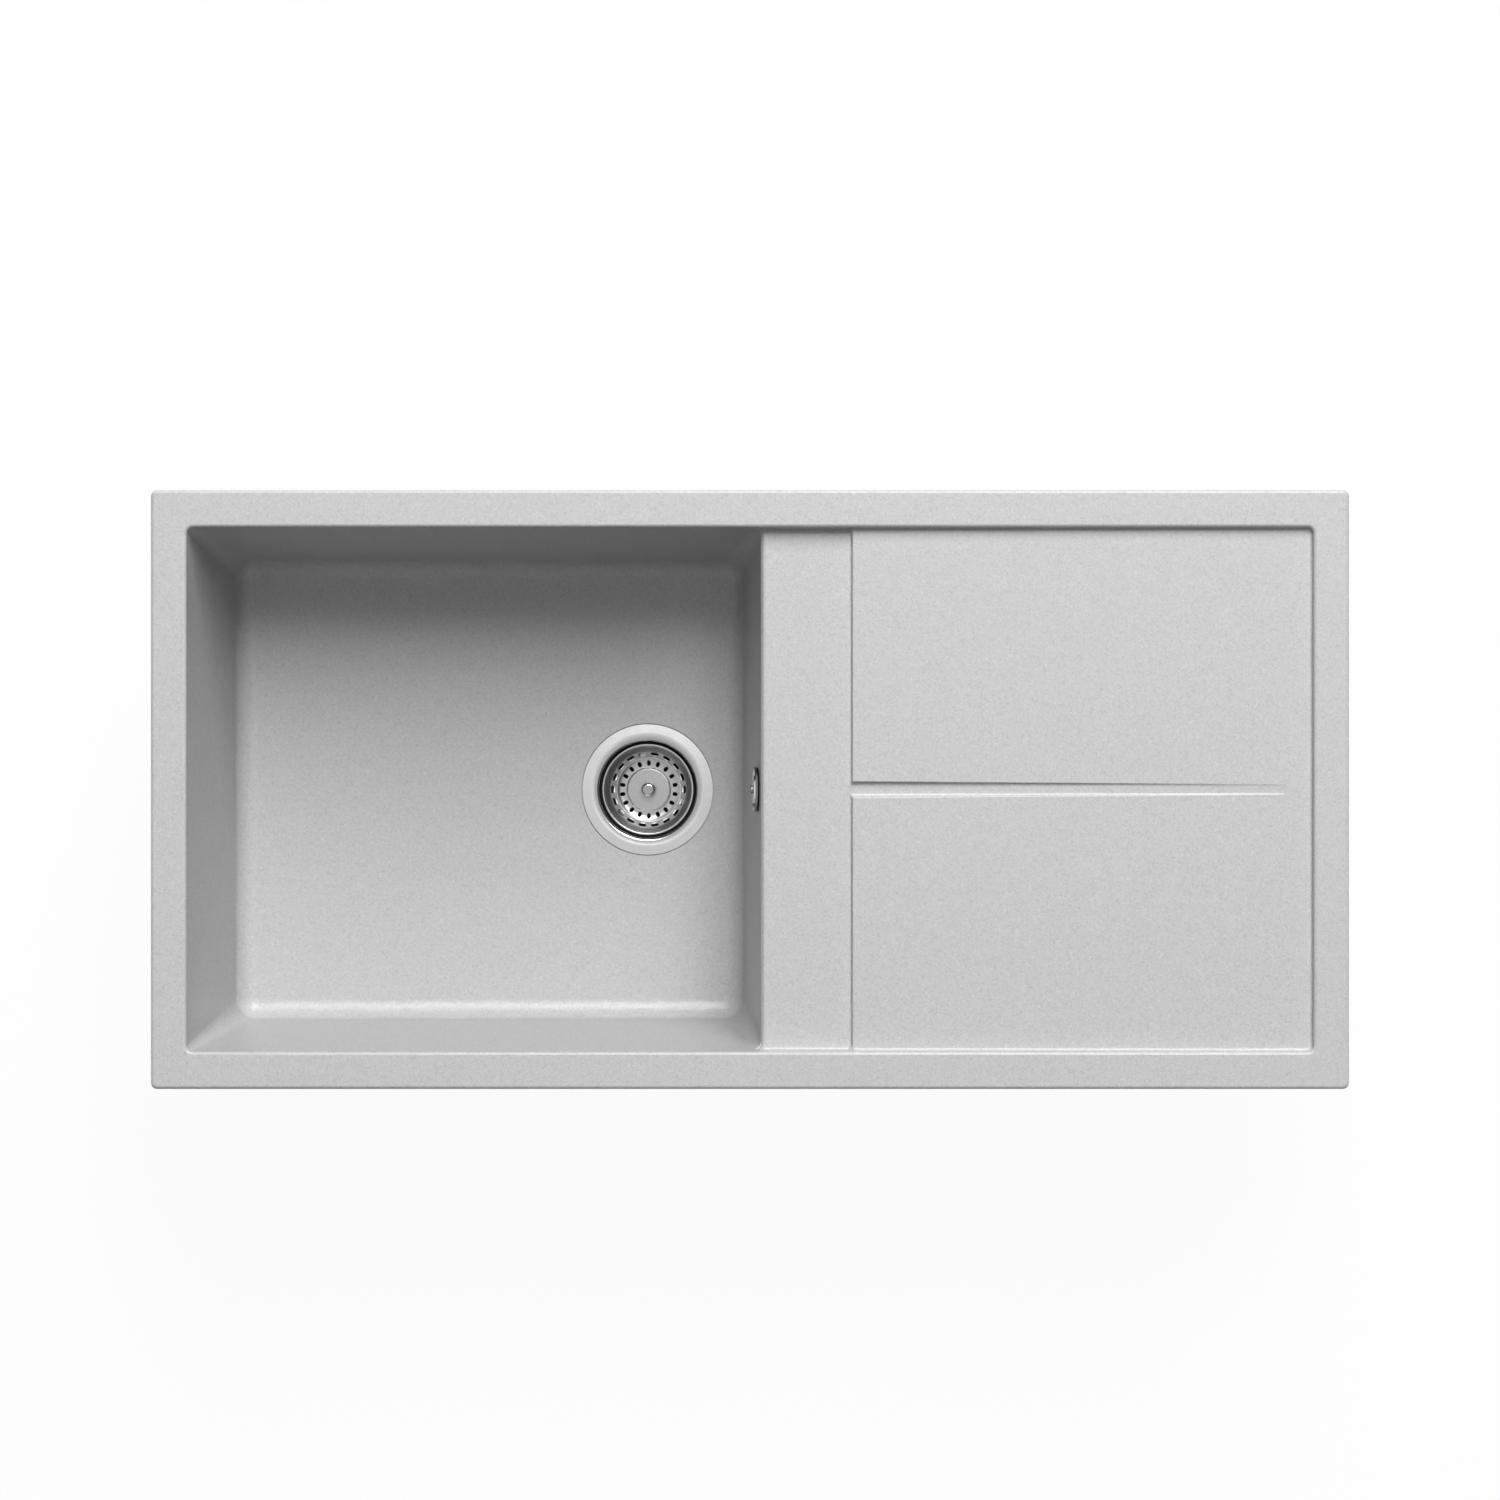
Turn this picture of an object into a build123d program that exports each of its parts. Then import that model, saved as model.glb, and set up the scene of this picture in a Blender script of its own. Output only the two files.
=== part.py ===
from build123d import *
from math import cos, hypot, radians, sin, tan
import os

# Inset kitchen sink moulded in granite composite, with its basket waste, its overflow and its clamps.
# Millimetres and degrees. The origin lies on the worktop's surface, in the middle of the sink.
# +X runs towards the drainer, +Y towards the back edge and +Z up.

# Clearances
RUNNING_FIT = 0.05
LOOSE_FIT = 0.2
PASSING_GAP = 0.3

# Rim and walls of the moulding
SINK_LENGTH = 1000.0
SINK_WIDTH = 500.0
SINK_CORNER = 5.0
RIM_THICKNESS = 8.5
RIM_OUTER_ROUND = 3.0
RIM_INNER_ROUND = 3.0
END_RIM_TRIM = 1.5
CUTOUT_OVERLAP = 10.0
WALL = 9.0
WALL_DRAFT = 5.0

# Foam strip under the rim
STRIP_THICKNESS = 1.5
STRIP_WIDTH = 8.0
STRIP_CORNER = 3.0

# Bowl
BOWL_LENGTH = 481.3
BOWL_DEPTH = 200.0
BOWL_CORNER_TOP = 5.0
BOWL_CORNER_FOOT = 20.0
FLOOR_THICKNESS = 10.0
FLOOR_FALL = 1.0
FLOOR_ROUND = 18.0

# Ledge beside the bowl, and drainer
LEDGE_DEPTH = 13.0
LEDGE_WIDTH = 75.0
LEDGE_EDGE_ROUND = 3.5
LEDGE_FOOT_ROUND = 2.0
LEDGE_CORNER = 4.5
PANEL_DEPTH = 7.0
PANEL_FALL = 1.5
PANEL_FOOT_ROUND = 2.5
STEP_DRAFT = 15.0
STEP_ROUND = 1.2
DRAINER_CORNER = 5.0
PAN_EDGE_ROUND = 4.0

# Tapered groove between the two panels
GROOVE_END_GAP = 23.0
GROOVE_MOUTH_WIDTH = 15.6
GROOVE_MOUTH_FLOOR = 6.4
GROOVE_END_WIDTH = 9.5
GROOVE_END_FLOOR = 5.0
GROOVE_HOLLOW_SHARE = 0.65
GROOVE_END_DEPTH = 0.15
GROOVE_SILL = 0.3

# Clamps under the rim
WORKTOP_THICKNESS = 38.0
BOSS_RADIUS = 6.0
BOSS_HEIGHT = 14.5
BOSS_WALL_GAP = 1.0
INSERT_RADIUS = 4.0
INSERT_LENGTH = 10.0
CLAMP_END_DISTANCE = 150.0
CLAMP_WIDTH = 12.0
CLAMP_STEEL = 2.0
CLAMP_REACH = 33.0
CLAMP_FOOT = 20.0
CLAMP_CRANK = 6.0
CLAMP_CRANK_RISE = 2.5
CLAMP_JAW = 4.5
CLAMP_BEND = 2.5
CLAMP_SLACK = 0.5
CLAMP_SCREW_RADIUS = 2.5
CLAMP_HEAD_WIDTH = 8.0
CLAMP_HEAD_HEIGHT = 4.0

# Steel cup of the waste
WASTE_FROM_BOWL_END = 101.8
SEAT_DEPTH = 3.0
SEAT_GAP = 0.8
SEAT_LAND = 3.0
CUP_GASKET = 1.1
CUP_STEEL = 1.0
THROAT_RADIUS = 43.0
THROAT_ROUND = 3.0
FLANGE_CREST_WIDTH = 7.0
FLANGE_OUTER_WIDTH = 8.0
FLANGE_FALL = 0.4
FLANGE_DISH = 0.6
FLANGE_BEND = 10.0
CONE_TOP_DROP = 8.0
CONE_DROP = 5.0
CONE_STEP = 3.5
CUP_TAPER = 2.0
CUP_FOOT_ROUND = 3.0
CUP_HOLE_GAP = 1.0
CUP_ARM_COUNT = 3
CUP_ARM_WIDTH = 5.0
CUP_HUB_RADIUS = 13.0
CUP_DRAIN_RADIUS = 33.5
CUP_DRAIN_CORNER = 2.0

# Moulded funnel under the floor
BODY_GASKET = 2.5
BODY_FLANGE_WIDTH = 8.5
BODY_FLANGE_THICKNESS = 4.0
BODY_WALL = 3.0
BODY_GAP = 1.5
FUNNEL_SHOULDER = 7.0
FUNNEL_DROP = 18.0
OUTLET_RADIUS = 23.9
OUTLET_LENGTH = 30.0
HUB_RADIUS = 8.0
HUB_HEIGHT = 18.0
HUB_ARM_COUNT = 4
HUB_ARM_WIDTH = 3.0
HUB_ARM_HEIGHT = 8.0
WASTE_SCREW_RADIUS = 3.0
WASTE_SCREW_LENGTH = 20.0
WASTE_HEAD_RADIUS = 5.0
WASTE_HEAD_HEIGHT = 4.0
WASTE_INSERT_RADIUS = 5.0
WASTE_INSERT_LENGTH = 12.0

# Strainer
BASKET_STEEL = 0.8
BASKET_RIM_DROP = 6.0
BASKET_RIM_GAP = 2.6
BASKET_RIM_WIDTH = 1.8
BASKET_NECK_HEIGHT = 6.5
BASKET_SHOULDER_WIDTH = 4.4
BASKET_SHOULDER_HEIGHT = 8.5
BASKET_WALL_WIDTH = 4.9
BASKET_DEPTH = 30.0
BASKET_DISC_RADIUS = 18.7
BASKET_DISC_RISE = 1.2
BASKET_DISH = 2.1
BASKET_DISH_WIDTH = 3.7
BASKET_DISH_ROUND = 11.0
BASKET_SLOT_COUNT = 18
FLOOR_SLOT_LENGTH = 5.0
FLOOR_SLOT_WIDTH = 3.4
FLOOR_SLOT_INSET = 5.5
WALL_SLOT_WIDTH = 7.0
WALL_SLOT_HEIGHT = 9.0
WALL_SLOT_CORNER = 2.4
SEAL_LIP = 1.2
SEAL_HEIGHT = 4.0
KNOB_RADIUS = 6.4
KNOB_HEIGHT = 14.0
KNOB_ROUND = 3.0
KNOB_FOOT_RADIUS = 5.0
KNOB_WAIST_RADIUS = 4.2
STEM_RADIUS = 3.0
STEM_IN_KNOB = 8.0
STEM_NECK_RADIUS = 2.5
STEM_END_RADIUS = 3.6
STEM_END_THICKNESS = 1.3
STEM_END_GAP = 0.7
STRAINER_NUT_WIDTH = 10.0
STRAINER_NUT_HEIGHT = 4.0
CLIP_RADIUS = 7.5
CLIP_TOP = 2.2
CLIP_PLAY = 0.1
CLIP_FOOT_GAP = 0.5
CLIP_SLIT_COUNT = 4
CLIP_SLIT_WIDTH = 2.0

# Overflow
OVERFLOW_DEPTH = 50.0
OVERFLOW_HOLE_RADIUS = 15.0
ROSETTE_RADIUS = 19.5
ROSETTE_STEEL = 0.8
ROSETTE_RING_WIDTH = 3.5
ROSETTE_RING_HEIGHT = 3.4
ROSETTE_CHANNEL_WIDTH = 3.6
ROSETTE_DOME_HEIGHT = 4.6
ROSETTE_SEAL = 0.8
ROSETTE_SEAL_WIDTH = 3.0
ROSETTE_SLOT_COUNT = 6
ROSETTE_SLOT_WIDTH = 1.8
ROSETTE_SLOT_ANGLE = 40.0
ROSETTE_HOLE_COUNT = 8
ROSETTE_HOLE_RADIUS = 1.4
ROSETTE_HOLE_RING = 7.4
OVERFLOW_SCREW_RADIUS = 2.0
OVERFLOW_SCREW_LENGTH = 28.0
OVERFLOW_HEAD_RADIUS = 3.6
OVERFLOW_HEAD_HEIGHT = 1.6
OVERFLOW_INSERT_RADIUS = 3.2
OVERFLOW_INSERT_LENGTH = 8.0
OVERFLOW_GASKET = 2.5
ELBOW_FLANGE_RADIUS = 21.0
ELBOW_FLANGE_THICKNESS = 3.5
ELBOW_WALL = 3.0
ELBOW_RADIUS = 16.0
ELBOW_REACH = 20.0
ELBOW_NECK = 6.0
ELBOW_POST_RADIUS = 5.0
ELBOW_OUTLET_LENGTH = 42.0

# Overflow pipe and its two joints
PIPE_RADIUS = 10.0
PIPE_WALL = 1.5
PIPE_BEND = 25.0
PIPE_SOCKET = 14.0
SPIGOT_RADIUS = 12.6
SPIGOT_REACH = 24.0
SPIGOT_DROP = 24.0
PIPE_SEAL = 3.0
NUT_WALL = 3.0
NUT_THREAD = 9.0
NUT_LIP = 2.5
NUT_RIB_COUNT = 12
NUT_RIB_RADIUS = 1.4

# Heights and places worked out from the sizes above
SLOPE = tan(radians(WALL_DRAFT))
WALL_SIDEWAYS = WALL / cos(radians(WALL_DRAFT))
RIM_WIDTH = CUTOUT_OVERLAP + 2 * BOSS_RADIUS + WALL_SIDEWAYS
RIM_UNDERSIDE = STRIP_THICKNESS
RIM_TOP = RIM_UNDERSIDE + RIM_THICKNESS
CUTTER_TOP = RIM_TOP + RIM_THICKNESS
INNER_X = SINK_LENGTH / 2 - RIM_WIDTH + END_RIM_TRIM
INNER_Y = SINK_WIDTH / 2 - RIM_WIDTH
BOWL_LEFT = -INNER_X
BOWL_RIGHT = BOWL_LEFT + BOWL_LENGTH
BOWL_MIDDLE = (BOWL_LEFT + BOWL_RIGHT) / 2
FLOOR_TOP = RIM_TOP - BOWL_DEPTH
FLOOR_UNDERSIDE = FLOOR_TOP - FLOOR_THICKNESS
LEDGE_TOP = RIM_TOP - LEDGE_DEPTH
LEDGE_X = BOWL_RIGHT - LEDGE_DEPTH * SLOPE
STEP_X = LEDGE_X + LEDGE_WIDTH
STEP_SLOPE = tan(radians(STEP_DRAFT))
PANEL_LENGTH = INNER_X - STEP_X
GROOVE_LENGTH = PANEL_LENGTH - GROOVE_END_GAP

CLAMP_INSET = CUTOUT_OVERLAP + BOSS_WALL_GAP + BOSS_RADIUS
CLAMP_SPACING = SINK_LENGTH / 2 - CLAMP_END_DISTANCE
BOSS_FOOT = RIM_UNDERSIDE - BOSS_HEIGHT
JAW_TIP = -WORKTOP_THICKNESS - CLAMP_SLACK
CLAMP_TOP = JAW_TIP - CLAMP_JAW - CLAMP_CRANK_RISE
CLAMP_HEAD_TOP = CLAMP_TOP - CLAMP_STEEL - PASSING_GAP

WASTE_X = BOWL_RIGHT - WASTE_FROM_BOWL_END
SEAT_TOP = FLOOR_TOP - SEAT_DEPTH
FLANGE_TOP = SEAT_TOP + CUP_GASKET + CUP_STEEL + FLANGE_FALL
FLANGE_CREST_RADIUS = THROAT_RADIUS + FLANGE_CREST_WIDTH
FLANGE_RADIUS = FLANGE_CREST_RADIUS + FLANGE_OUTER_WIDTH
SEAT_RADIUS = FLANGE_RADIUS + SEAT_GAP
WASTE_HOLE_RADIUS = THROAT_RADIUS + CUP_STEEL + CUP_HOLE_GAP

BASKET_RIM_RADIUS = THROAT_RADIUS - BASKET_RIM_GAP
BASKET_NECK_RADIUS = BASKET_RIM_RADIUS - BASKET_RIM_WIDTH
BASKET_SHOULDER_RADIUS = BASKET_NECK_RADIUS - BASKET_SHOULDER_WIDTH
BASKET_FOOT_RADIUS = BASKET_SHOULDER_RADIUS - BASKET_WALL_WIDTH
FLOOR_SLOT_RING = BASKET_FOOT_RADIUS - FLOOR_SLOT_INSET
SLOT_PITCH = 360 / BASKET_SLOT_COUNT
BASKET_RIM = FLANGE_TOP - BASKET_RIM_DROP
BASKET_FLOOR = BASKET_RIM - BASKET_DEPTH
DISC_TOP = BASKET_FLOOR + BASKET_DISC_RISE
DISC_UNDERSIDE = DISC_TOP - BASKET_STEEL
NUT_FOOT = DISC_UNDERSIDE - STRAINER_NUT_HEIGHT
CLIP_HEAD = NUT_FOOT - CLIP_PLAY
CLIP_ROOF = CLIP_HEAD - CLIP_TOP
STEM_FLANGE = CLIP_ROOF - CLIP_PLAY
STEM_END = STEM_FLANGE - STEM_END_THICKNESS

WASTE_HEAD_TOP = STEM_END - STEM_END_GAP
CUP_FLOOR = WASTE_HEAD_TOP - WASTE_HEAD_HEIGHT
CLIP_FOOT = CUP_FLOOR + CLIP_FOOT_GAP
HUB_TOP = CUP_FLOOR - CUP_STEEL
BODY_TOP = FLOOR_UNDERSIDE - BODY_GASKET
BODY_RADIUS = WASTE_HOLE_RADIUS + BODY_GAP + BODY_WALL
BODY_FLANGE_RADIUS = BODY_RADIUS + BODY_FLANGE_WIDTH
FUNNEL_TOP = HUB_TOP - FUNNEL_SHOULDER
OUTLET_TOP = FUNNEL_TOP - FUNNEL_DROP
OUTLET_END = OUTLET_TOP - OUTLET_LENGTH

OVERFLOW_Z = RIM_TOP - OVERFLOW_DEPTH
OVERFLOW_X = BOWL_RIGHT - OVERFLOW_DEPTH * SLOPE
INTO_BOWL = (-cos(radians(WALL_DRAFT)), 0, sin(radians(WALL_DRAFT)))
OVERFLOW_PLANE = Plane((OVERFLOW_X, 0, OVERFLOW_Z), x_dir=(0, 1, 0), z_dir=INTO_BOWL)
ELBOW_FRONT = -WALL - OVERFLOW_GASKET
ELBOW_AXIS = -WALL - ELBOW_REACH
ELBOW_BACK = ELBOW_AXIS - ELBOW_RADIUS
PIPE_X = OVERFLOW_X - ELBOW_AXIS * cos(radians(WALL_DRAFT))
ELBOW_AXIS_Z = OVERFLOW_Z + ELBOW_AXIS * sin(radians(WALL_DRAFT))
ELBOW_OUTLET = ELBOW_AXIS_Z - ELBOW_OUTLET_LENGTH
SPIGOT_Z = BODY_TOP - SPIGOT_DROP
SPIGOT_END = WASTE_X + BODY_RADIUS + SPIGOT_REACH
PIPE_BORE = PIPE_RADIUS - PIPE_WALL
SOCKET_BORE = PIPE_RADIUS + LOOSE_FIT


def drafted_block(left, right, half_width, corner_top, corner_foot, top, foot, grow=0.0):
    """A block with rounded corners whose four walls lean out to the given edges at the rim's top."""
    sections = []
    for corner, height in ((corner_top, top), (corner_foot, foot)):
        inset = (RIM_TOP - height) * SLOPE - grow
        outline = RectangleRounded(right - left - 2 * inset, 2 * (half_width - inset), corner)
        sections.append(Pos((left + right) / 2, 0, height) * outline)
    return loft(sections, ruled=True)


def across(*points):
    """A side outline in X and Z, drawn out over the sink's whole width."""
    return extrude(Plane.XZ * make_face(Polyline(*points, close=True)), SINK_WIDTH, both=True)


def turned(*points):
    """A solid turned about Z from an outline of radius and height."""
    return revolve(Plane.XZ * make_face(Polyline(*points, close=True)), Axis.Z)


def ring(inner, outer, foot, top):
    """A plain ring about Z."""
    height = top - foot
    return Pos(0, 0, foot) * extrude(Circle(outer) - Circle(inner), height)


def rod(radius, foot, top):
    """A plain rod about Z."""
    return Pos(0, 0, foot) * extrude(Circle(radius), top - foot)


def drawn_sheet(points, rounds, thickness):
    """A sheet turned about Z, from its upper outline (outer edge first), with its thickness below."""
    upper = FilletPolyline(*points, radius=rounds)
    section = make_face(offset(upper, thickness, side=Side.LEFT))
    return revolve(Plane.XZ * section, Axis.Z)


def edges_below(shape, height):
    """The edges that lie wholly below a height."""
    return [edge for edge in shape.edges() if edge.bounding_box().max.Z < height]


def bowl_cutter():
    """The bowl's hollow: leaning walls, and a floor that falls to the waste."""
    walls = drafted_block(
        BOWL_LEFT, BOWL_RIGHT, INNER_Y, BOWL_CORNER_TOP, BOWL_CORNER_FOOT, CUTTER_TOP, FLOOR_TOP
    )
    land = SEAT_RADIUS + SEAT_LAND
    rise = (SINK_LENGTH - land) * tan(radians(FLOOR_FALL))
    above_floor = turned(
        (0, FLOOR_TOP),
        (land, FLOOR_TOP),
        (SINK_LENGTH, FLOOR_TOP + rise),
        (SINK_LENGTH, CUTTER_TOP + RIM_THICKNESS),
        (0, CUTTER_TOP + RIM_THICKNESS),
    )
    hollow = walls & (Pos(WASTE_X, 0, 0) * above_floor)
    waste_centre = Vector(WASTE_X, 0, FLOOR_TOP)
    foot = edges_below(hollow, FLOOR_TOP + FLOOR_ROUND)
    foot = [edge for edge in foot if (edge @ 0.5 - waste_centre).length > land + 1]
    return fillet(foot, FLOOR_ROUND)


def panel_height(x):
    """Height of the drainer panels at a place along the sink."""
    return RIM_TOP - PANEL_DEPTH - PANEL_FALL * (INNER_X - x) / PANEL_LENGTH


def ledge_cutter(envelope):
    """The hollow over the ledge, down to its flat, with a rounded foot at three walls."""
    hollow = envelope & across(
        (BOWL_MIDDLE, LEDGE_TOP),
        (STEP_X, LEDGE_TOP),
        (STEP_X + (CUTTER_TOP - LEDGE_TOP) * STEP_SLOPE, CUTTER_TOP),
        (BOWL_MIDDLE, CUTTER_TOP),
    )
    posts = hollow.edges().filter_by(lambda edge: edge.bounding_box().min.X > STEP_X - 1)
    posts = [edge for edge in posts if edge.bounding_box().size.Z > LEDGE_DEPTH]
    hollow = fillet(posts, LEDGE_CORNER)
    foot = [edge for edge in edges_below(hollow, LEDGE_TOP + 0.01) if edge.center().X > BOWL_LEFT / 3]
    return fillet(foot, LEDGE_FOOT_ROUND)


def panel_cutter(envelope):
    """The hollow over the drainer panels, which fall a little towards the ledge."""
    start = STEP_X - LEDGE_WIDTH / 2
    end = SINK_LENGTH / 2
    hollow = envelope & across(
        (start, panel_height(start)), (end, panel_height(end)), (end, CUTTER_TOP), (start, CUTTER_TOP)
    )
    foot = edges_below(hollow, panel_height(INNER_X) + PANEL_FALL / 2)
    foot = [edge for edge in foot if edge.center().X > start + 1]
    return fillet(foot, PANEL_FOOT_ROUND)


def ledge_edge_cutter(envelope):
    """Rounds the ledge's edge over the bowl, and follows the bowl's corners round to the walls."""
    inset = LEDGE_DEPTH * SLOPE - LEDGE_EDGE_ROUND
    outline = RectangleRounded(
        BOWL_LENGTH - 2 * inset, 2 * (INNER_Y - inset), BOWL_CORNER_TOP + LEDGE_EDGE_ROUND
    )
    place = Pos(BOWL_MIDDLE, 0, LEDGE_TOP - LEDGE_EDGE_ROUND)
    plate = place * extrude(outline, CUTTER_TOP - LEDGE_TOP + LEDGE_EDGE_ROUND)
    path = place * outline.wire()
    bead = sweep(Plane(path @ 0, z_dir=path % 0) * Circle(LEDGE_EDGE_ROUND), path)
    return (plate - bead) & envelope


def step_edge_cutter(envelope):
    """Rounds the upper edge of the step from the ledge to the panels."""
    lean = radians(STEP_DRAFT)
    height = panel_height(STEP_X) - STEP_ROUND
    centre = STEP_X + (height - LEDGE_TOP) * STEP_SLOPE + STEP_ROUND / cos(lean)
    foot = height + STEP_ROUND * sin(lean)
    start = STEP_X - LEDGE_WIDTH / 2
    block = across((start, foot), (centre, foot), (centre, CUTTER_TOP), (start, CUTTER_TOP))
    bead = Pos(centre, 0, height) * Rot(90, 0, 0) * Cylinder(STEP_ROUND, 2 * SINK_WIDTH)
    return (block - bead) & envelope


def groove_section(x, floor_width, full_width, depth):
    """The groove's outline across the sink: a flat floor and sides of a hollow arc and a round arc."""
    top = panel_height(x) + GROOVE_END_DEPTH / 3
    floor = panel_height(x) - depth
    inner = floor_width / 2
    outer = full_width / 2
    share = GROOVE_HOLLOW_SHARE
    middle = (inner + (outer - inner) * share, floor + (top - floor) * share)
    hollow_arc = TangentArc((inner, floor), middle, tangent=(1, 0))
    round_arc = TangentArc(middle, (outer, top), tangent=hollow_arc % 1)
    upright = Line((outer, top), (outer, CUTTER_TOP))
    bottom = Line((0, floor), (inner, floor))
    lid = Line((outer, CUTTER_TOP), (0, CUTTER_TOP))
    right = [bottom, hollow_arc, round_arc, upright, lid]
    left = [mirror(edge, Plane.YZ) for edge in right]
    return Plane((x, 0, 0), x_dir=(0, 1, 0), z_dir=(1, 0, 0)) * make_face(right + left)


def groove_cutter():
    """The groove, level with the ledge at its mouth and running out to nothing along the panels."""
    start = STEP_X - LEDGE_FOOT_ROUND - 1
    end = STEP_X + GROOVE_LENGTH
    mouth_depth = panel_height(start) - LEDGE_TOP - GROOVE_SILL
    mouth = groove_section(start, GROOVE_MOUTH_FLOOR, GROOVE_MOUTH_WIDTH, mouth_depth)
    runout = groove_section(end, GROOVE_END_FLOOR, GROOVE_END_WIDTH, GROOVE_END_DEPTH)
    return loft([mouth, runout], ruled=True)


def clamp_places():
    """Each clamp's name, place and turn: the arm lies along the rim, and a quarter turn swings it out."""
    side_x = SINK_LENGTH / 2 - CLAMP_INSET
    side_y = SINK_WIDTH / 2 - CLAMP_INSET
    places = {}
    for name, x in (("left", -CLAMP_SPACING), ("middle", 0.0), ("right", CLAMP_SPACING)):
        places[f"clamp_back_{name}"] = Pos(x, side_y) * Rot(0, 0, 0)
        places[f"clamp_front_{name}"] = Pos(x, -side_y) * Rot(0, 0, 180)
    places["clamp_left_end"] = Pos(-side_x, 0) * Rot(0, 0, 90)
    places["clamp_right_end"] = Pos(side_x, 0) * Rot(0, 0, -90)
    return places


def boss():
    """The boss that holds one insert, with a web back to the wall (towards -Y)."""
    web = WALL_SIDEWAYS / 2 + BOSS_RADIUS
    post = rod(BOSS_RADIUS, BOSS_FOOT, RIM_UNDERSIDE + 1)
    back = Box(2 * BOSS_RADIUS, web, BOSS_HEIGHT + 1, align=(Align.CENTER, Align.MAX, Align.MIN))
    return post + Pos(0, 0, BOSS_FOOT) * back


def sink_body():
    """The moulding."""
    slab = Pos(0, 0, RIM_UNDERSIDE) * extrude(
        RectangleRounded(SINK_LENGTH, SINK_WIDTH, SINK_CORNER), RIM_THICKNESS
    )
    slab = fillet(slab.faces().sort_by(Axis.Z)[-1].edges(), RIM_OUTER_ROUND)
    shell_top = RIM_UNDERSIDE + 1
    shell = drafted_block(
        BOWL_LEFT, BOWL_RIGHT, INNER_Y, BOWL_CORNER_TOP + WALL, BOWL_CORNER_FOOT + WALL,
        shell_top, FLOOR_UNDERSIDE, WALL_SIDEWAYS,
    )
    shell = fillet(shell.faces().sort_by(Axis.Z)[0].edges(), FLOOR_ROUND + WALL / 2)
    corner = DRAINER_CORNER + WALL
    ledge_pan = (STEP_X + WALL - WALL_SIDEWAYS, LEDGE_TOP - WALL)
    panel_pan = (INNER_X, panel_height(STEP_X) - WALL)
    pans = []
    for end, foot in (ledge_pan, panel_pan):
        pan = drafted_block(BOWL_MIDDLE, end, INNER_Y, corner, corner, shell_top, foot, WALL_SIDEWAYS)
        pans.append(fillet(pan.faces().sort_by(Axis.Z)[0].edges(), PAN_EDGE_ROUND))
    rib_foot = LEDGE_TOP - WALL
    rib_end = STEP_X + GROOVE_LENGTH
    rib_half = GROOVE_MOUTH_WIDTH / 2 + WALL
    rib = across(
        (STEP_X, rib_foot),
        (STEP_X + GROOVE_LENGTH / 2, rib_foot),
        (rib_end, panel_height(STEP_X) - WALL),
        (rib_end, RIM_UNDERSIDE - 1),
        (STEP_X, RIM_UNDERSIDE - 1),
    ) & (Pos(STEP_X, 0, 0) * Box(2 * SINK_LENGTH, 2 * rib_half, SINK_WIDTH))
    body = slab + shell + pans + rib
    body += [place * boss() for place in clamp_places().values()]

    envelope = drafted_block(
        BOWL_MIDDLE, INNER_X, INNER_Y, DRAINER_CORNER, DRAINER_CORNER, CUTTER_TOP, LEDGE_TOP - LEDGE_DEPTH
    )
    hollow = bowl_cutter() + ledge_cutter(envelope) + panel_cutter(envelope)
    hollow += ledge_edge_cutter(envelope) + step_edge_cutter(envelope) + groove_cutter()
    body -= hollow
    inner_rim = [
        edge
        for edge in body.edges()
        if edge.bounding_box().min.Z > RIM_TOP - 0.01
        and abs(edge.center().X) < INNER_X + 1
        and abs(edge.center().Y) < INNER_Y + 1
    ]
    body = fillet(inner_rim, RIM_INNER_ROUND)

    below = FLOOR_UNDERSIDE - 1
    seat = turned(
        (0, FLOOR_TOP + 1),
        (SEAT_RADIUS, FLOOR_TOP + 1),
        (SEAT_RADIUS, SEAT_TOP),
        (FLANGE_CREST_RADIUS + CUP_STEEL, SEAT_TOP),
        (WASTE_HOLE_RADIUS, (SEAT_TOP + FLOOR_UNDERSIDE) / 2),
        (WASTE_HOLE_RADIUS, below),
        (0, below),
    )
    body -= Pos(WASTE_X, 0, 0) * seat
    body -= OVERFLOW_PLANE * rod(OVERFLOW_HOLE_RADIUS, -2 * WALL, WALL)
    insert_hole = rod(INSERT_RADIUS, BOSS_FOOT - 1, BOSS_FOOT + INSERT_LENGTH)
    body -= [place * insert_hole for place in clamp_places().values()]
    return body


def rim_seal_strip():
    """The flat foam strip that beds the rim on the worktop."""
    length = SINK_LENGTH - 2 * (CUTOUT_OVERLAP - STRIP_WIDTH)
    width = SINK_WIDTH - 2 * (CUTOUT_OVERLAP - STRIP_WIDTH)
    outer = RectangleRounded(length, width, STRIP_CORNER)
    inner = Rectangle(length - 2 * STRIP_WIDTH, width - 2 * STRIP_WIDTH)
    return extrude(outer - inner, STRIP_THICKNESS)


def clamp_insert():
    """Brass insert in a boss."""
    bore = CLAMP_SCREW_RADIUS + RUNNING_FIT
    return ring(bore, INSERT_RADIUS, BOSS_FOOT, BOSS_FOOT + INSERT_LENGTH)


def clamp_screw():
    """Hexagon screw that holds one clamp."""
    head_foot = CLAMP_HEAD_TOP - CLAMP_HEAD_HEIGHT
    hexagon = RegularPolygon(CLAMP_HEAD_WIDTH / 2, 6, major_radius=False)
    head = Pos(0, 0, head_foot) * extrude(hexagon, CLAMP_HEAD_HEIGHT)
    return head + rod(CLAMP_SCREW_RADIUS, CLAMP_HEAD_TOP, BOSS_FOOT + INSERT_LENGTH)


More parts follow.
